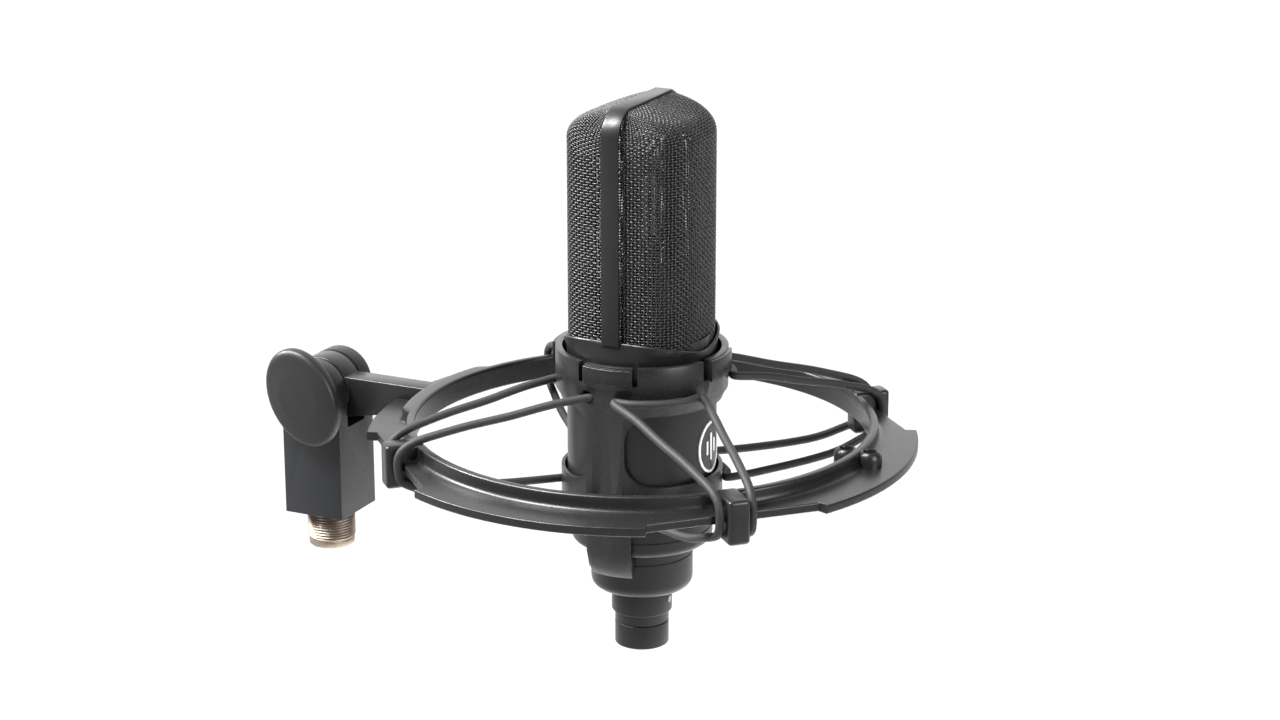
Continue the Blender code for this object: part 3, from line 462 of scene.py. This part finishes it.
bush = {"radius": 8.1 * mm, "core": 7.5 * mm, "bore": 4.4 * mm, "ringRadius": 7.6 * mm,
        "ringHeight": 2.3 * mm, "pitch": 0.95 * mm, "rowsPerTurn": 6, "top": blockLow.z,
        "steps": 72}
rowHeight = bush["pitch"] / bush["rowsPerTurn"]
rowCount = int((bush["top"] - bush["ringHeight"]) / rowHeight)
bushProfile = [(bush["bore"], bush["top"]), (bush["bore"], 0.4 * mm),
               (bush["bore"] + 0.4 * mm, 0), (bush["ringRadius"] - 0.4 * mm, 0),
               (bush["ringRadius"], 0.4 * mm), (bush["ringRadius"], bush["ringHeight"] - 0.2 * mm)]
bushProfile += [(bush["core"], bush["ringHeight"] + row * rowHeight)
                for row in range(rowCount + 1)]
standBush = turnedPiece("standBush", bushProfile, bush["steps"], Vector((0, 0, 0)))


def threadPoint(co):
    # the thread rises by its pitch at each turn and fades out at its lower end
    radius = hypot(co.x, co.y)
    if co.z < bush["ringHeight"] - 0.05 * mm or abs(radius - bush["core"]) > 0.02 * mm:
        return co
    phase = (co.z / bush["pitch"] - atan2(co.y, co.x) / (2 * pi)) % 1
    ridge = 1 - abs(2 * phase - 1)
    fade = min(1, (co.z - bush["ringHeight"]) / bush["pitch"])
    share = (bush["core"] + (bush["radius"] - bush["core"]) * ridge * fade) / radius
    return Vector((co.x * share, co.y * share, co.z))


moveVertices(standBush, threadPoint)
smoothByAngle(standBush, 50)
finish(standBush, nickelPlate, "clamp", "nickel", "stand_bush")

knob = {"halfLength": 16.9 * mm, "halfWidth": 12.5 * mm, "thickness": 4.6 * mm, "crown": 1.8 * mm,
        "lean": radians(25.5), "neck": 6.0 * mm, "neckLength": 1.2 * mm}
halfThick = knob["thickness"] / 2
wide = knob["halfWidth"]
knobOutline = [(knob["neck"], -halfThick - knob["neckLength"]),
               (knob["neck"], -halfThick, 0.4 * mm),
               (wide, -halfThick, 1.9 * mm), (wide, halfThick, 2.2 * mm),
               (wide * 0.55, halfThick + knob["crown"] * 0.75, 6 * mm),
               (0.3 * mm, halfThick + knob["crown"])]
thumbKnob = solidTurned("thumbKnob", rounded(knobOutline, 6, closed=False), 96, Vector((0, 0, 0)))


def knobPoint(co):
    # oval from round, then laid on the hinge's axis with its crown to the left
    radius = hypot(co.x, co.y)
    if radius > knob["neck"] * 1.02:
        extra = (knob["halfLength"] - wide) * min(1, (radius / wide) ** 2)
        co = Vector((co.x * (radius + extra) / radius, co.y, co.z))
    turned = Vector((co.x * sin(knob["lean"]) - co.y * cos(knob["lean"]),
                     co.x * cos(knob["lean"]) + co.y * sin(knob["lean"])))
    return Vector((knobMiddle - co.z, hinge.y + turned.x, hinge.z + turned.y))


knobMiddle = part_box("thumb_knob")[0].x + knob["crown"] + halfThick
moveVertices(thumbKnob, knobPoint)
cleanUp(thumbKnob)
smoothByAngle(thumbKnob, 50)
finish(thumbKnob, softMoulding, "knob", "black_plastic", "thumb_knob")
print("stand block, bush and knob made")


# ring moulding

ring = {"inner": 71.1 * mm, "outer": 73.9 * mm, "atArm": 76.6 * mm, "top": 75.6 * mm,
        "bottom": 68.0 * mm, "flangeTop": 70.8 * mm, "flange": 86.5 * mm, "flat": 78.8 * mm,
        "wideHalf": radians(26), "armFrom": radians(69), "armTo": radians(111), "steps": 360,
        "nominal": 80.0 * mm, "edge": 0.6 * mm, "middle": 72.5 * mm, "armEase": radians(2.5),
        "stepBand": radians(1.2), "stepShare": 0.12, "stepGap": radians(0.06)}
ringProfile = rounded([(ring["inner"], ring["bottom"], 0.6 * mm),
                       (ring["inner"], ring["top"], 1.1 * mm),
                       (ring["outer"], ring["top"], 1.1 * mm),
                       (ring["outer"], ring["flangeTop"], 2.4 * mm),
                       (ring["nominal"], ring["flangeTop"], ring["edge"]),
                       (ring["nominal"], ring["bottom"], 0.6 * mm)], 5)
ringMoulding = turnedPiece("ringMoulding", ringProfile, ring["steps"], mic)


def ringPoint(co):
    x, y = co.x - mic.x, co.y - mic.y
    radius, turn = hypot(x, y), atan2(y, x)
    quarter = (turn + pi / 4) % (pi / 2) - pi / 4           # from the nearest axis
    step = ring["wideHalf"]
    near = abs(abs(quarter) - step)
    if near < ring["stepBand"]:                             # both sides of the step drawn together
        side = 1 if abs(quarter) > step else -1
        moved = step + side * (ring["stepShare"] * near + ring["stepGap"])
        moved *= 1 if quarter > 0 else -1
        turn += moved - quarter
        quarter = moved
    if radius > ring["nominal"] - 3 * ring["edge"]:         # out to the flange's real edge
        flat = ring["flat"] / cos(pi / 4 - abs(quarter))
        reach = ring["flange"] if abs(quarter) <= step else flat
        radius += reach - ring["nominal"]
    elif radius > ring["middle"]:                           # thicker where the arm joins
        share = min(1, max(0, (turn - ring["armFrom"]) / ring["armEase"]),
                    max(0, (ring["armTo"] - turn) / ring["armEase"]))
        radius += (ring["atArm"] - ring["outer"]) * share
    return Vector((mic.x + radius * cos(turn), mic.y + radius * sin(turn), co.z))


moveVertices(ringMoulding, ringPoint)


def placed(piece, angle, x=0.0, y=0.0, z=0.0):
    # turned about the upright axis and moved, all in the mesh
    piece.data.transform(Matrix.Translation((x, y, z)) @ Matrix.Rotation(angle, 4, "Z"))
    return piece


def joined(piece, parts):
    # closed shells that overlap become one piece
    deselectAll()
    for part in parts:
        part.select_set(True)
    piece.select_set(True)
    bpy.context.view_layer.objects.active = piece
    bpy.ops.object.join()
    return piece


lug = {"inner": 71.6 * mm, "outer": 83.7 * mm, "width": 6.8 * mm, "low": 62.4 * mm,
       "high": 76.2 * mm, "edge": 1.2 * mm}
shells = []
for angle in lugAngles.values():
    block = boxPiece("lug", (lug["inner"], -lug["width"] / 2, lug["low"]),
                     (lug["outer"], lug["width"] / 2, lug["high"]))
    bevelEdges(block, lug["edge"], 4)
    shells.append(placed(block, angle, *mic))

boss = {"radius": 3.8 * mm, "bore": 2.0 * mm, "low": 68.3 * mm, "high": 75.5 * mm,
        "floor": 71.0 * mm, "out": (68.7 * mm, 76.3 * mm)}
for reach in boss["out"]:
    postProfile = [(boss["radius"], boss["low"])]
    postProfile += [(boss["radius"] - inward * mm, boss["high"] - down * mm)
                    for inward, down in ((0, 2.4), (0.15, 1.6), (0.5, 0.75), (1.0, 0.2), (1.35, 0),
                                         (1.65, 0.15), (1.8, 0.6))]
    postProfile.append((boss["bore"], boss["floor"]))
    shells.append(solidTurned("boss", postProfile, 40, mic + Vector((0, -reach, 0))))

arm = {"halfWidth": 4.0 * mm, "top": hinge.z + 5.2 * mm, "height": 15.6 * mm, "eye": 10.8 * mm,
       "eyeWidth": 8.4 * mm, "bore": 3.2 * mm}
ringEdge = mic.y + ring["atArm"]
lowEdge = -(arm["eye"] + arm["bore"]) / 2
armBar = boxPiece("arm", (-arm["halfWidth"], ringEdge - 3 * mm, arm["top"] - arm["height"]),
                  (arm["halfWidth"], lowEdge, arm["top"]))
for vertex in armBar.data.vertices:  # the underside rises to the ring's
    if vertex.co.z < ring["bottom"] + mic.z:
        share = vertex.co.y / (mic.y + ring["inner"])
        vertex.co.z += (ring["bottom"] + mic.z - vertex.co.z) * max(0, share)
bevelEdges(armBar, 0.5 * mm, 3)
shells.append(armBar)
half = arm["eyeWidth"] / 2
eye = turnedPiece("eye", rounded([(arm["bore"], -half), (arm["eye"], -half, 0.6 * mm),
                                  (arm["eye"], half, 0.6 * mm), (arm["bore"], half)], 3), 64,
                  Vector((0, 0, 0)))
eye.data.transform(Matrix.Translation(hinge) @ Matrix.Rotation(pi / 2, 4, "Y"))
shells.append(eye)
joined(ringMoulding, shells)
smoothByAngle(ringMoulding, 42)
finish(ringMoulding, mouldedNylon, "ring", "black_plastic", "ring_frame")
print("ring moulding made")


# cradle

cradleMoulding = refinedCopy("cradleMoulding", "cradle", 0.25 * mm, 2, 40, merge=0.03 * mm)
tab = {"from": radians(-15), "to": radians(19), "inner": 25.7 * mm, "outer": 28.2 * mm,
       "height": 5.2 * mm, "drop": 0.45 * mm, "slot": radians(3.2)}
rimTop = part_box("cradle")[1].z - mic.z


def arcBlock(name, start, end, inner, outer, low, high):
    steps = 16
    turns = [start + (end - start) * step / steps for step in range(steps + 1)]
    outline = [(outer * cos(turn), outer * sin(turn)) for turn in turns]
    outline += [(inner * cos(turn), inner * sin(turn)) for turn in reversed(turns)]
    return placed(extrudedPiece(name, outline, high - low), 0, mic.x, mic.y, mic.z + low)


tabs = []
for side in (0, pi):
    cutWith(cradleMoulding, arcBlock("slot", side + tab["to"], side + tab["to"] + tab["slot"],
                                     tab["inner"] - 4 * mm, tab["outer"] + 2 * mm,
                                     rimTop - tab["height"] - tab["drop"], rimTop + mm))
    block = arcBlock("tab", side + tab["from"], side + tab["to"], tab["inner"], tab["outer"],
                     rimTop - tab["height"] - tab["drop"], rimTop - tab["drop"])
    bevelEdges(block, 0.3 * mm, 3)
    tabs.append(block)
joined(cradleMoulding, tabs)
smoothByAngle(cradleMoulding, 40)
finish(cradleMoulding, mouldedNylon, "cradle", "black_plastic", "cradle")
print("cradle made")


# microphone body and connector

body = {"radius": 23.4 * mm, "wall": 1.5 * mm, "low": 52.3 * mm, "round": 97.0 * mm,
        "edge": 105.7 * mm, "dip": 5.0 * mm, "lip": 0.7 * mm, "headHalf": 22.3 * mm,
        "power": 3.0, "steps": 144}
skirtRows = 8  # a millimetre each, where the tube flares
tubeProfile = [(body["radius"] - body["wall"], body["low"]), (body["radius"], body["low"])]
tubeProfile += [(body["radius"], body["round"] + row * mm) for row in range(skirtRows + 1)]
tubeProfile += [(body["radius"] - 0.25 * mm, body["round"] + skirtRows * mm + 0.25 * mm),
                (body["radius"] - body["lip"], body["round"] + skirtRows * mm + 0.25 * mm),
                (body["radius"] - body["lip"] - 0.1 * mm, body["round"] + skirtRows * mm - mm)]
bodyTube = turnedPiece("bodyTube", tubeProfile, body["steps"], mic)


def headRadius(turn, half, power):
    return half / (abs(cos(turn)) ** power + abs(sin(turn)) ** power) ** (1 / power)


def skirtPoint(co):
    # the tube's round end flows out to the head's squarer plan, lower at the front and back
    x, y = co.x - mic.x, co.y - mic.y
    radius, turn, height = hypot(x, y), atan2(y, x), co.z - mic.z
    if height <= body["round"] + 0.01 * mm:
        return co
    share = (height - body["round"]) / (skirtRows * mm)
    end = body["edge"] - body["dip"] * sin(turn) ** 4
    height = body["round"] + share * (end - body["round"])
    blend = min(1, share) ** 2
    radius += (headRadius(turn, body["headHalf"], body["power"]) - body["radius"]) * blend
    return Vector((mic.x + radius * cos(turn), mic.y + radius * sin(turn), mic.z + height))


moveVertices(bodyTube, skirtPoint)
smoothByAngle(bodyTube, 40)
finish(bodyTube, satinEnamel, "microphone", "black_paint", "body_tube")

base = {"radius": 22.4 * mm, "bottom": 36.1 * mm, "edge": 3.2 * mm, "stem": 16.2 * mm,
        "stemBottom": 20.0 * mm, "stemEdge": 4.2 * mm, "top": 52.0 * mm, "wall": 2.0 * mm,
        "groove": 0.25 * mm, "bore": 8.9 * mm}
baseOutline = [(base["bore"], base["stemBottom"] + base["wall"]),
               (base["bore"], base["stemBottom"]),
               (base["stem"], base["stemBottom"], base["stemEdge"]),
               (base["stem"], 31.4 * mm), (base["stem"] - base["groove"], 31.5 * mm),
               (base["stem"] - base["groove"], 31.9 * mm), (base["stem"], 32.0 * mm),
               (base["stem"], base["bottom"], 0.5 * mm),
               (base["radius"], base["bottom"], base["edge"]),
               (base["radius"], 41.0 * mm), (base["radius"] - base["groove"], 41.1 * mm),
               (base["radius"] - base["groove"], 41.5 * mm), (base["radius"], 41.6 * mm),
               (base["radius"], base["top"], 0.3 * mm),
               (base["radius"] - base["wall"], base["top"]),
               (base["radius"] - base["wall"], base["bottom"] + base["wall"] + 2 * mm),
               (base["stem"] - base["wall"], base["bottom"] + base["wall"]),
               (base["stem"] - base["wall"], base["stemBottom"] + base["wall"] + 2 * mm),
               (base["stem"] - base["wall"] - 2 * mm, base["stemBottom"] + base["wall"])]
baseHousing = turnedPiece("baseHousing", rounded(baseOutline, 6), 128, mic)
smoothByAngle(baseHousing, 40)
finish(baseHousing, satinEnamel, "microphone", "black_paint", "base_housing")

shell = {"radius": 8.6 * mm, "bore": 7.7 * mm, "top": 22.3 * mm, "groove": 7.9 * mm}
shellOutline = [(shell["bore"], shell["top"]), (shell["bore"], 0, 0.2 * mm),
                (shell["radius"], 0, 0.7 * mm),
                (shell["radius"], shell["groove"] - 0.4 * mm, 0.1 * mm),
                (shell["radius"] - 0.35 * mm, shell["groove"] - 0.2 * mm),
                (shell["radius"] - 0.35 * mm, shell["groove"] + 0.2 * mm),
                (shell["radius"], shell["groove"] + 0.4 * mm, 0.1 * mm),
                (shell["radius"], shell["top"])]
xlrShell = turnedPiece("xlrShell", rounded(shellOutline, 4), 80, mic)
smoothByAngle(xlrShell, 40)
finish(xlrShell, satinEnamel, "microphone", "black_paint", "xlr_shell")

collar = {"radius": 9.65 * mm, "low": 11.5 * mm, "high": 19.7 * mm, "bore": 8.9 * mm}
collarOutline = [(collar["bore"], collar["high"]), (collar["bore"], collar["low"]),
                 (collar["radius"], collar["low"], 0.5 * mm),
                 (collar["radius"], collar["high"], 0.2 * mm)]
xlrCollar = turnedPiece("xlrCollar", rounded(collarOutline, 4), 80, mic)
smoothByAngle(xlrCollar, 40)
finish(xlrCollar, satinEnamel, "microphone", "black_paint", "xlr_collar")
print("body and connector made")


# badge, an oval with a plain pale rim and three bars

badge = {"centre": 69.3 * mm, "halfHeight": 8.4 * mm, "halfWidth": 7.0 * mm, "rim": 0.8 * mm,
         "thick": 0.45 * mm, "bars": ((-2.4, 2.2), (0.0, 4.4), (2.4, 2.2)), "barWidth": 0.8 * mm,
         "fieldDepth": 0.6, "barDepth": 0.9}


def badgePart(name, outlines, depth, material):
    # one outline gives a plate, two give a hoop
    mesh = bpy.data.meshes.new(name)
    piece = bpy.data.objects.new(name, mesh)
    bpy.context.scene.collection.objects.link(piece)
    corners = [(x, y, 0) for outline in outlines for x, y in outline]
    count = len(outlines[0])
    if len(outlines) == 1:
        faces = [list(range(count))]
    else:
        faces = [[k, (k + 1) % count, count + (k + 1) % count, count + k] for k in range(count)]
    mesh.from_pydata(corners, [], faces)
    editMode(piece)
    bpy.ops.mesh.extrude_region_move(TRANSFORM_OT_translate={"value": (0, 0, depth)})
    bpy.ops.mesh.select_all(action="SELECT")
    bpy.ops.mesh.quads_convert_to_tris()
    bpy.ops.mesh.subdivide(number_cuts=2)
    objectMode()

    def onBody(co):
        # wrapped round the front of the tube
        turn = -pi / 2 + co.x / body["radius"]
        radius = body["radius"] + co.z
        return Vector((mic.x + radius * cos(turn), mic.y + radius * sin(turn),
                       mic.z + badge["centre"] + co.y))

    moveVertices(piece, onBody)
    cleanUp(piece)
    smoothByAngle(piece, 40)
    finish(piece, material, "microphone", "badge_enamel", "front_badge")


def oval(halfWidth, halfHeight, steps=64):
    return [(halfWidth * cos(2 * pi * step / steps), halfHeight * sin(2 * pi * step / steps))
            for step in range(steps)]


badgePart("badgeField", [oval(badge["halfWidth"] - 0.3 * mm, badge["halfHeight"] - 0.3 * mm)],
          badge["thick"] * badge["fieldDepth"], badgeBlack)
badgePart("badgeRim", [oval(badge["halfWidth"], badge["halfHeight"]),
                       oval(badge["halfWidth"] - badge["rim"], badge["halfHeight"] - badge["rim"])],
          badge["thick"], badgeWhite)
for index, (across, tall) in enumerate(badge["bars"]):
    left, right = across * mm - badge["barWidth"] / 2, across * mm + badge["barWidth"] / 2
    high = tall * mm
    corners = [(left, -high), (right, -high), (right, high), (left, high)]
    badgePart(f"badgeBar{index + 1}", [corners], badge["thick"] * badge["barDepth"], badgeWhite)
print("badge made")


# head: strap and woven halves

head = {"half": 20.45 * mm, "power": 3.1, "low": 97.0 * mm, "shoulder": 162.5 * mm,
        "top": 177.0 * mm, "slope": 0.35, "endSlope": 1.25, "endFrom": 15.6 * mm,
        "rounding": 4.7 * mm, "blend": 0.9 * mm, "wire": 0.275 * mm, "weave": 0.26 * mm,
        "columnPitch": 1.245 * mm,
        "rowPitch": 0.885 * mm, "strapEdge": 2.4 * mm, "tubeInside": 21.0 * mm,
        "tuckStart": 1.5 * mm, "tuckLength": 2.5 * mm, "pathSteps": 40, "planSteps": 2000,
        "roofDraw": 0.25, "wireRoundness": 1, "drift": 0.006, "driftAcross": 1.1,
        "driftUp": 0.23}


def roofHeight(x, y):
    # two slopes down from the strap and one at each end, eased together and into the walls
    toSides = head["top"] - head["slope"] * max(0, abs(y) - head["strapEdge"])
    toEnds = head["top"] - head["endSlope"] * max(0, abs(x) - head["endFrom"])
    soft = head["blend"]
    lowest = min(toSides, toEnds)
    eased = lowest - soft * log(exp((lowest - toSides) / soft) + exp((lowest - toEnds) / soft))
    share = ((abs(x) / head["half"]) ** head["power"]
             + (abs(y) / head["half"]) ** head["power"]) ** (1 / head["power"])
    inward = max(0, min(1, 1 - head["half"] * (1 - share) / head["rounding"]))
    return eased - head["rounding"] * (1 - sqrt(1 - inward * inward))


def headPath(turn):
    # up the wall and over the roof to the strap's edge, with the length along it
    radius = headRadius(turn, head["half"], head["power"])
    x, y = radius * cos(turn), radius * sin(turn)
    line = []
    for step in range(head["pathSteps"] + 1):
        t = (step / head["pathSteps"]) ** 2
        here = Vector((x * (1 - head["roofDraw"] * t), y + (head["strapEdge"] - y) * t))
        line.append(Vector((*here, roofHeight(*here))))
    line[0].z = min(line[0].z, line[1].z)
    line.insert(0, Vector((x, y, head["shoulder"])))
    lengths = [0.0]
    for a, b in zip(line, line[1:]):
        lengths.append(lengths[-1] + (b - a).length)
    return line, lengths


def headPoint(turn, row, side):
    # rows count up the wall, then share out the roof's length
    radius = headRadius(turn, head["half"], head["power"])
    if row <= head["wallRows"]:
        height = head["shoulder"] - (head["wallRows"] - row) * head["rowPitch"]
        edge = body["edge"] - body["dip"] * sin(turn) ** 4
        under = (edge - head["tuckStart"] - height) / head["tuckLength"]
        tuck = min(1, max(0, under))                        # inside the tube below its edge
        radius += (min(radius, head["tubeInside"]) - radius) * tuck
        return Vector((radius * cos(turn), side * radius * sin(turn), height))
    line, lengths = headPath(turn)
    target = lengths[-1] * min(1, (row - head["wallRows"]) / head["roofRows"])
    index = 0
    while index < len(lengths) - 2 and lengths[index + 1] < target:
        index += 1
    share = (target - lengths[index]) / max(1e-9, lengths[index + 1] - lengths[index])
    spot = line[index].lerp(line[index + 1], share)
    return Vector((spot.x, side * spot.y, spot.z))


head["wallRows"] = round((head["shoulder"] - head["low"]) / head["rowPitch"])
head["roofRows"] = round(headPath(pi / 2)[1][-1] / head["rowPitch"])


def evenTurns():
    # turns that space the upright wires evenly round one half's plan
    plan = []
    for step in range(head["planSteps"] + 1):
        turn = pi * step / head["planSteps"]
        radius = headRadius(turn, head["half"], head["power"])
        if radius * sin(turn) >= head["strapEdge"]:
            plan.append((turn, Vector((radius * cos(turn), radius * sin(turn)))))
    lengths = [0.0]
    for (_, a), (_, b) in zip(plan, plan[1:]):
        lengths.append(lengths[-1] + (b - a).length)
    count = round(lengths[-1] / head["columnPitch"])
    turns = []
    index = 0
    for wire in range(2 * count + 1):
        target = lengths[-1] * wire / (2 * count)
        while index < len(lengths) - 2 and lengths[index + 1] < target:
            index += 1
        share = (target - lengths[index]) / (lengths[index + 1] - lengths[index])
        turns.append(plan[index][0] + share * (plan[index + 1][0] - plan[index][0]))
    return turns, count


def wovenHalf(name, side):
    # the uprights and the rounds of one half, each in its own piece
    turns, columns = evenTurns()
    rows = head["wallRows"] + head["roofRows"]
    across, up = head["driftAcross"], head["driftUp"]  # the wires wander a little, as woven ones do
    grid = [[headPoint(turn + head["drift"] * sin(up * row + across * column), row / 2, side)
             for row in range(2 * rows + 1)] for column, turn in enumerate(turns)]

    def woven(column, row, lift):
        # halves of a pitch both ways, lifted along the surface's normal
        if not lift:
            return grid[column][row]
        ahead = grid[min(column + 1, 2 * columns)][row] - grid[max(column - 1, 0)][row]
        above = grid[column][min(row + 1, 2 * rows)] - grid[column][max(row - 1, 0)]
        normal = ahead.cross(above).normalized()
        point = grid[column][row]
        if normal.dot(Vector((point.x, point.y, 0.02))) < 0:
            normal = -normal
        return point + normal * lift * head["weave"]

    def lifted(along, other):
        # over one crossing wire and under the next, level between them
        return 0 if along % 2 else (1 if (other + along // 2) % 2 else -1)

    uprights = [[woven(2 * column, row, lifted(row, column)) for row in range(2 * rows + 1)]
                for column in range(columns + 1)]
    rounds = [[woven(column, 2 * row, -lifted(column, row)) for column in range(2 * columns + 1)]
              for row in range(rows)]
    return [tubePiece(name + "Uprights", uprights, head["wire"], head["wireRoundness"]),
            tubePiece(name + "Rounds", rounds, head["wire"], head["wireRoundness"])]


for side, name, node in ((-1, "wovenFront", "grille_front"), (1, "wovenRear", "grille_rear")):
    for piece in wovenHalf(name, side):
        finish(piece, enamelledWire, "microphone", "grille_wire", node)

strap = {"reach": 23.1 * mm, "thick": 1.0 * mm, "width": 5.9 * mm, "low": 104.8 * mm,
         "bend": 166.0 * mm, "flatHalf": 15.5 * mm, "top": 177.5 * mm, "pullUp": 6.2 * mm,
         "pullOut": (5.6 * mm, -2.2 * mm), "bendSteps": 10, "edge": 0.28 * mm}


def strapLine(inset):
    # up the left side, round the bend to the crease, in X and height
    start = Vector((strap["reach"] - inset, strap["bend"]))
    end = Vector((strap["flatHalf"] - 0.4 * inset, strap["top"] - inset))
    pullA, pullB = start + Vector((0, strap["pullUp"])), end + Vector(strap["pullOut"])
    line = [(strap["reach"] - inset, strap["low"])]
    for step in range(strap["bendSteps"] + 1):
        t = step / strap["bendSteps"]
        spot = (start * (1 - t) ** 3 + pullA * 3 * t * (1 - t) ** 2 + pullB * 3 * t * t * (1 - t)
                + end * t ** 3)
        line.append((spot.x, spot.y))
    return line


outer, inner = strapLine(0), strapLine(strap["thick"])
strapOutline = outer + [(-x, z) for x, z in reversed(outer)]
strapOutline += [(-x, z) for x, z in inner] + list(reversed(inner))
headStrap = extrudedPiece("headStrap", strapOutline, strap["width"])
headStrap.data.transform(Matrix.Translation(mic + Vector((0, strap["width"] / 2, 0)))
                         @ Matrix.Rotation(pi / 2, 4, "X"))
bevelEdges(headStrap, strap["edge"], 2, 50)
smoothByAngle(headStrap, 25)
finish(headStrap, satinEnamel, "microphone", "black_paint", "grille_strap")
print("head made")


# elastic cords

cordPlan = {"radius": 1.3 * mm, "upper": 89.0 * mm, "lower": 55.4 * mm,
            "sideAngle": radians(8.3), "frontAngle": radians(25.5), "clearance": 0.4 * mm,
            "runClearance": 0.9 * mm, "over": 72.56 * mm, "under": 68.53 * mm,
            "rim": 27.0 * mm, "wall": 25.4 * mm, "inside": 24.6 * mm, "roundness": 4,
            "spanSteps": 8, "blendFrom": 76 * mm, "blendTo": 30 * mm, "blendHeight": 70 * mm}
# from the cradle, 0, to the lug, 1: the share of the way out, and of the height
upperWay = [(0, 0), (0.22, 0.11), (0.44, 0.29), (0.64, 0.425), (0.78, 0.545), (0.90, 0.667),
            (0.97, 0.81), (1, 1)]
lowerWay = [(1, 1), (0.985, 0.76), (0.94, 0.625), (0.86, 0.49), (0.72, 0.275), (0.55, 0.153),
            (0.30, 0.06), (0, 0)]


def cordFeet(lugName):
    # where the lug's strands leave the cradle, the side one first
    across = 1 if cos(lugAngles[lugName]) > 0 else -1
    along = 1 if sin(lugAngles[lugName]) > 0 else -1
    return [atan2(along * sin(cordPlan["sideAngle"]), across * cos(cordPlan["sideAngle"])),
            atan2(along * cos(cordPlan["frontAngle"]), across * sin(cordPlan["frontAngle"]))]


def cordStrand(lugName, footAngle, startRadius, footHeight, grooveHeight, way):
    angle = lugAngles[lugName]
    turn = (footAngle - angle + pi) % (2 * pi) - pi
    beside = lug["width"] / 2 + cordPlan["radius"] + cordPlan["clearance"]
    beside *= 1 if turn > 0 else -1
    reach = ring["flat"] + cordPlan["radius"] + cordPlan["clearance"]
    groove = Vector((reach * cos(angle) - beside * sin(angle),
                     reach * sin(angle) + beside * cos(angle)))
    foot = Vector((startRadius * cos(footAngle), startRadius * sin(footAngle)))
    return [Vector((*foot.lerp(groove, out), footHeight + (grooveHeight - footHeight) * up))
            for out, up in way]


def cordStrands(lugName, footAngle, upperRadius, lowerRadius):
    return (cordStrand(lugName, footAngle, upperRadius, cordPlan["upper"], cordPlan["over"],
                       upperWay)
            + cordStrand(lugName, footAngle, lowerRadius, cordPlan["lower"], cordPlan["under"],
                         lowerWay))


def cordRun(start, end, radius, height):
    turn = (end - start + pi) % (2 * pi) - pi
    return [Vector((radius * cos(start + turn * step / 5), radius * sin(start + turn * step / 5),
                    height)) for step in range(1, 5)]


def cordPiece(name, points, closed, node):
    count = len(points)
    fine = []
    for span in range(count if closed else count - 1):
        p = [points[(span + k) % count] if closed else points[max(0, min(count - 1, span + k))]
             for k in (-1, 0, 1, 2)]
        for step in range(cordPlan["spanSteps"]):
            t = step / cordPlan["spanSteps"]
            fine.append(0.5 * (2 * p[1] + (p[2] - p[0]) * t
                               + (2 * p[0] - 5 * p[1] + 4 * p[2] - p[3]) * t * t
                               + (3 * p[1] - p[0] - 3 * p[2] + p[3]) * t ** 3))
    if not closed:
        fine.append(points[-1])
    piece = tubePiece(name, [fine], cordPlan["radius"], cordPlan["roundness"], closed)
    piece.data.materials.clear()
    piece.data.materials.append(braidedCord)
    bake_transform(piece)
    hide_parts(node)


cordOut = cordPlan["radius"] + cordPlan["runClearance"]
upperRadius, lowerRadius = cordPlan["rim"] + cordOut, cordPlan["wall"] + cordOut
for lugName, name in (("front_left", "cordFrontLeft"), ("front_right", "cordFrontRight")):
    side, end = cordFeet(lugName)
    points = cordStrands(lugName, side, upperRadius, lowerRadius)
    points += cordRun(side, end, lowerRadius, cordPlan["lower"])
    points += list(reversed(cordStrands(lugName, end, upperRadius, lowerRadius)))
    points += cordRun(end, side, upperRadius, cordPlan["upper"])
    cordPiece(name, points, True, f"elastic_cord_{lugName}")
for lugName, name in (("rear_left", "cordRearLeft"), ("rear_right", "cordRearRight")):
    for angle, which in zip(cordFeet(lugName), ("side", "end")):
        points = cordStrands(lugName, angle, cordPlan["inside"], cordPlan["inside"])
        cordPiece(name + which.capitalize(), points, False,
                  f"elastic_cord_{lugName}_{which}")
print("cords made")
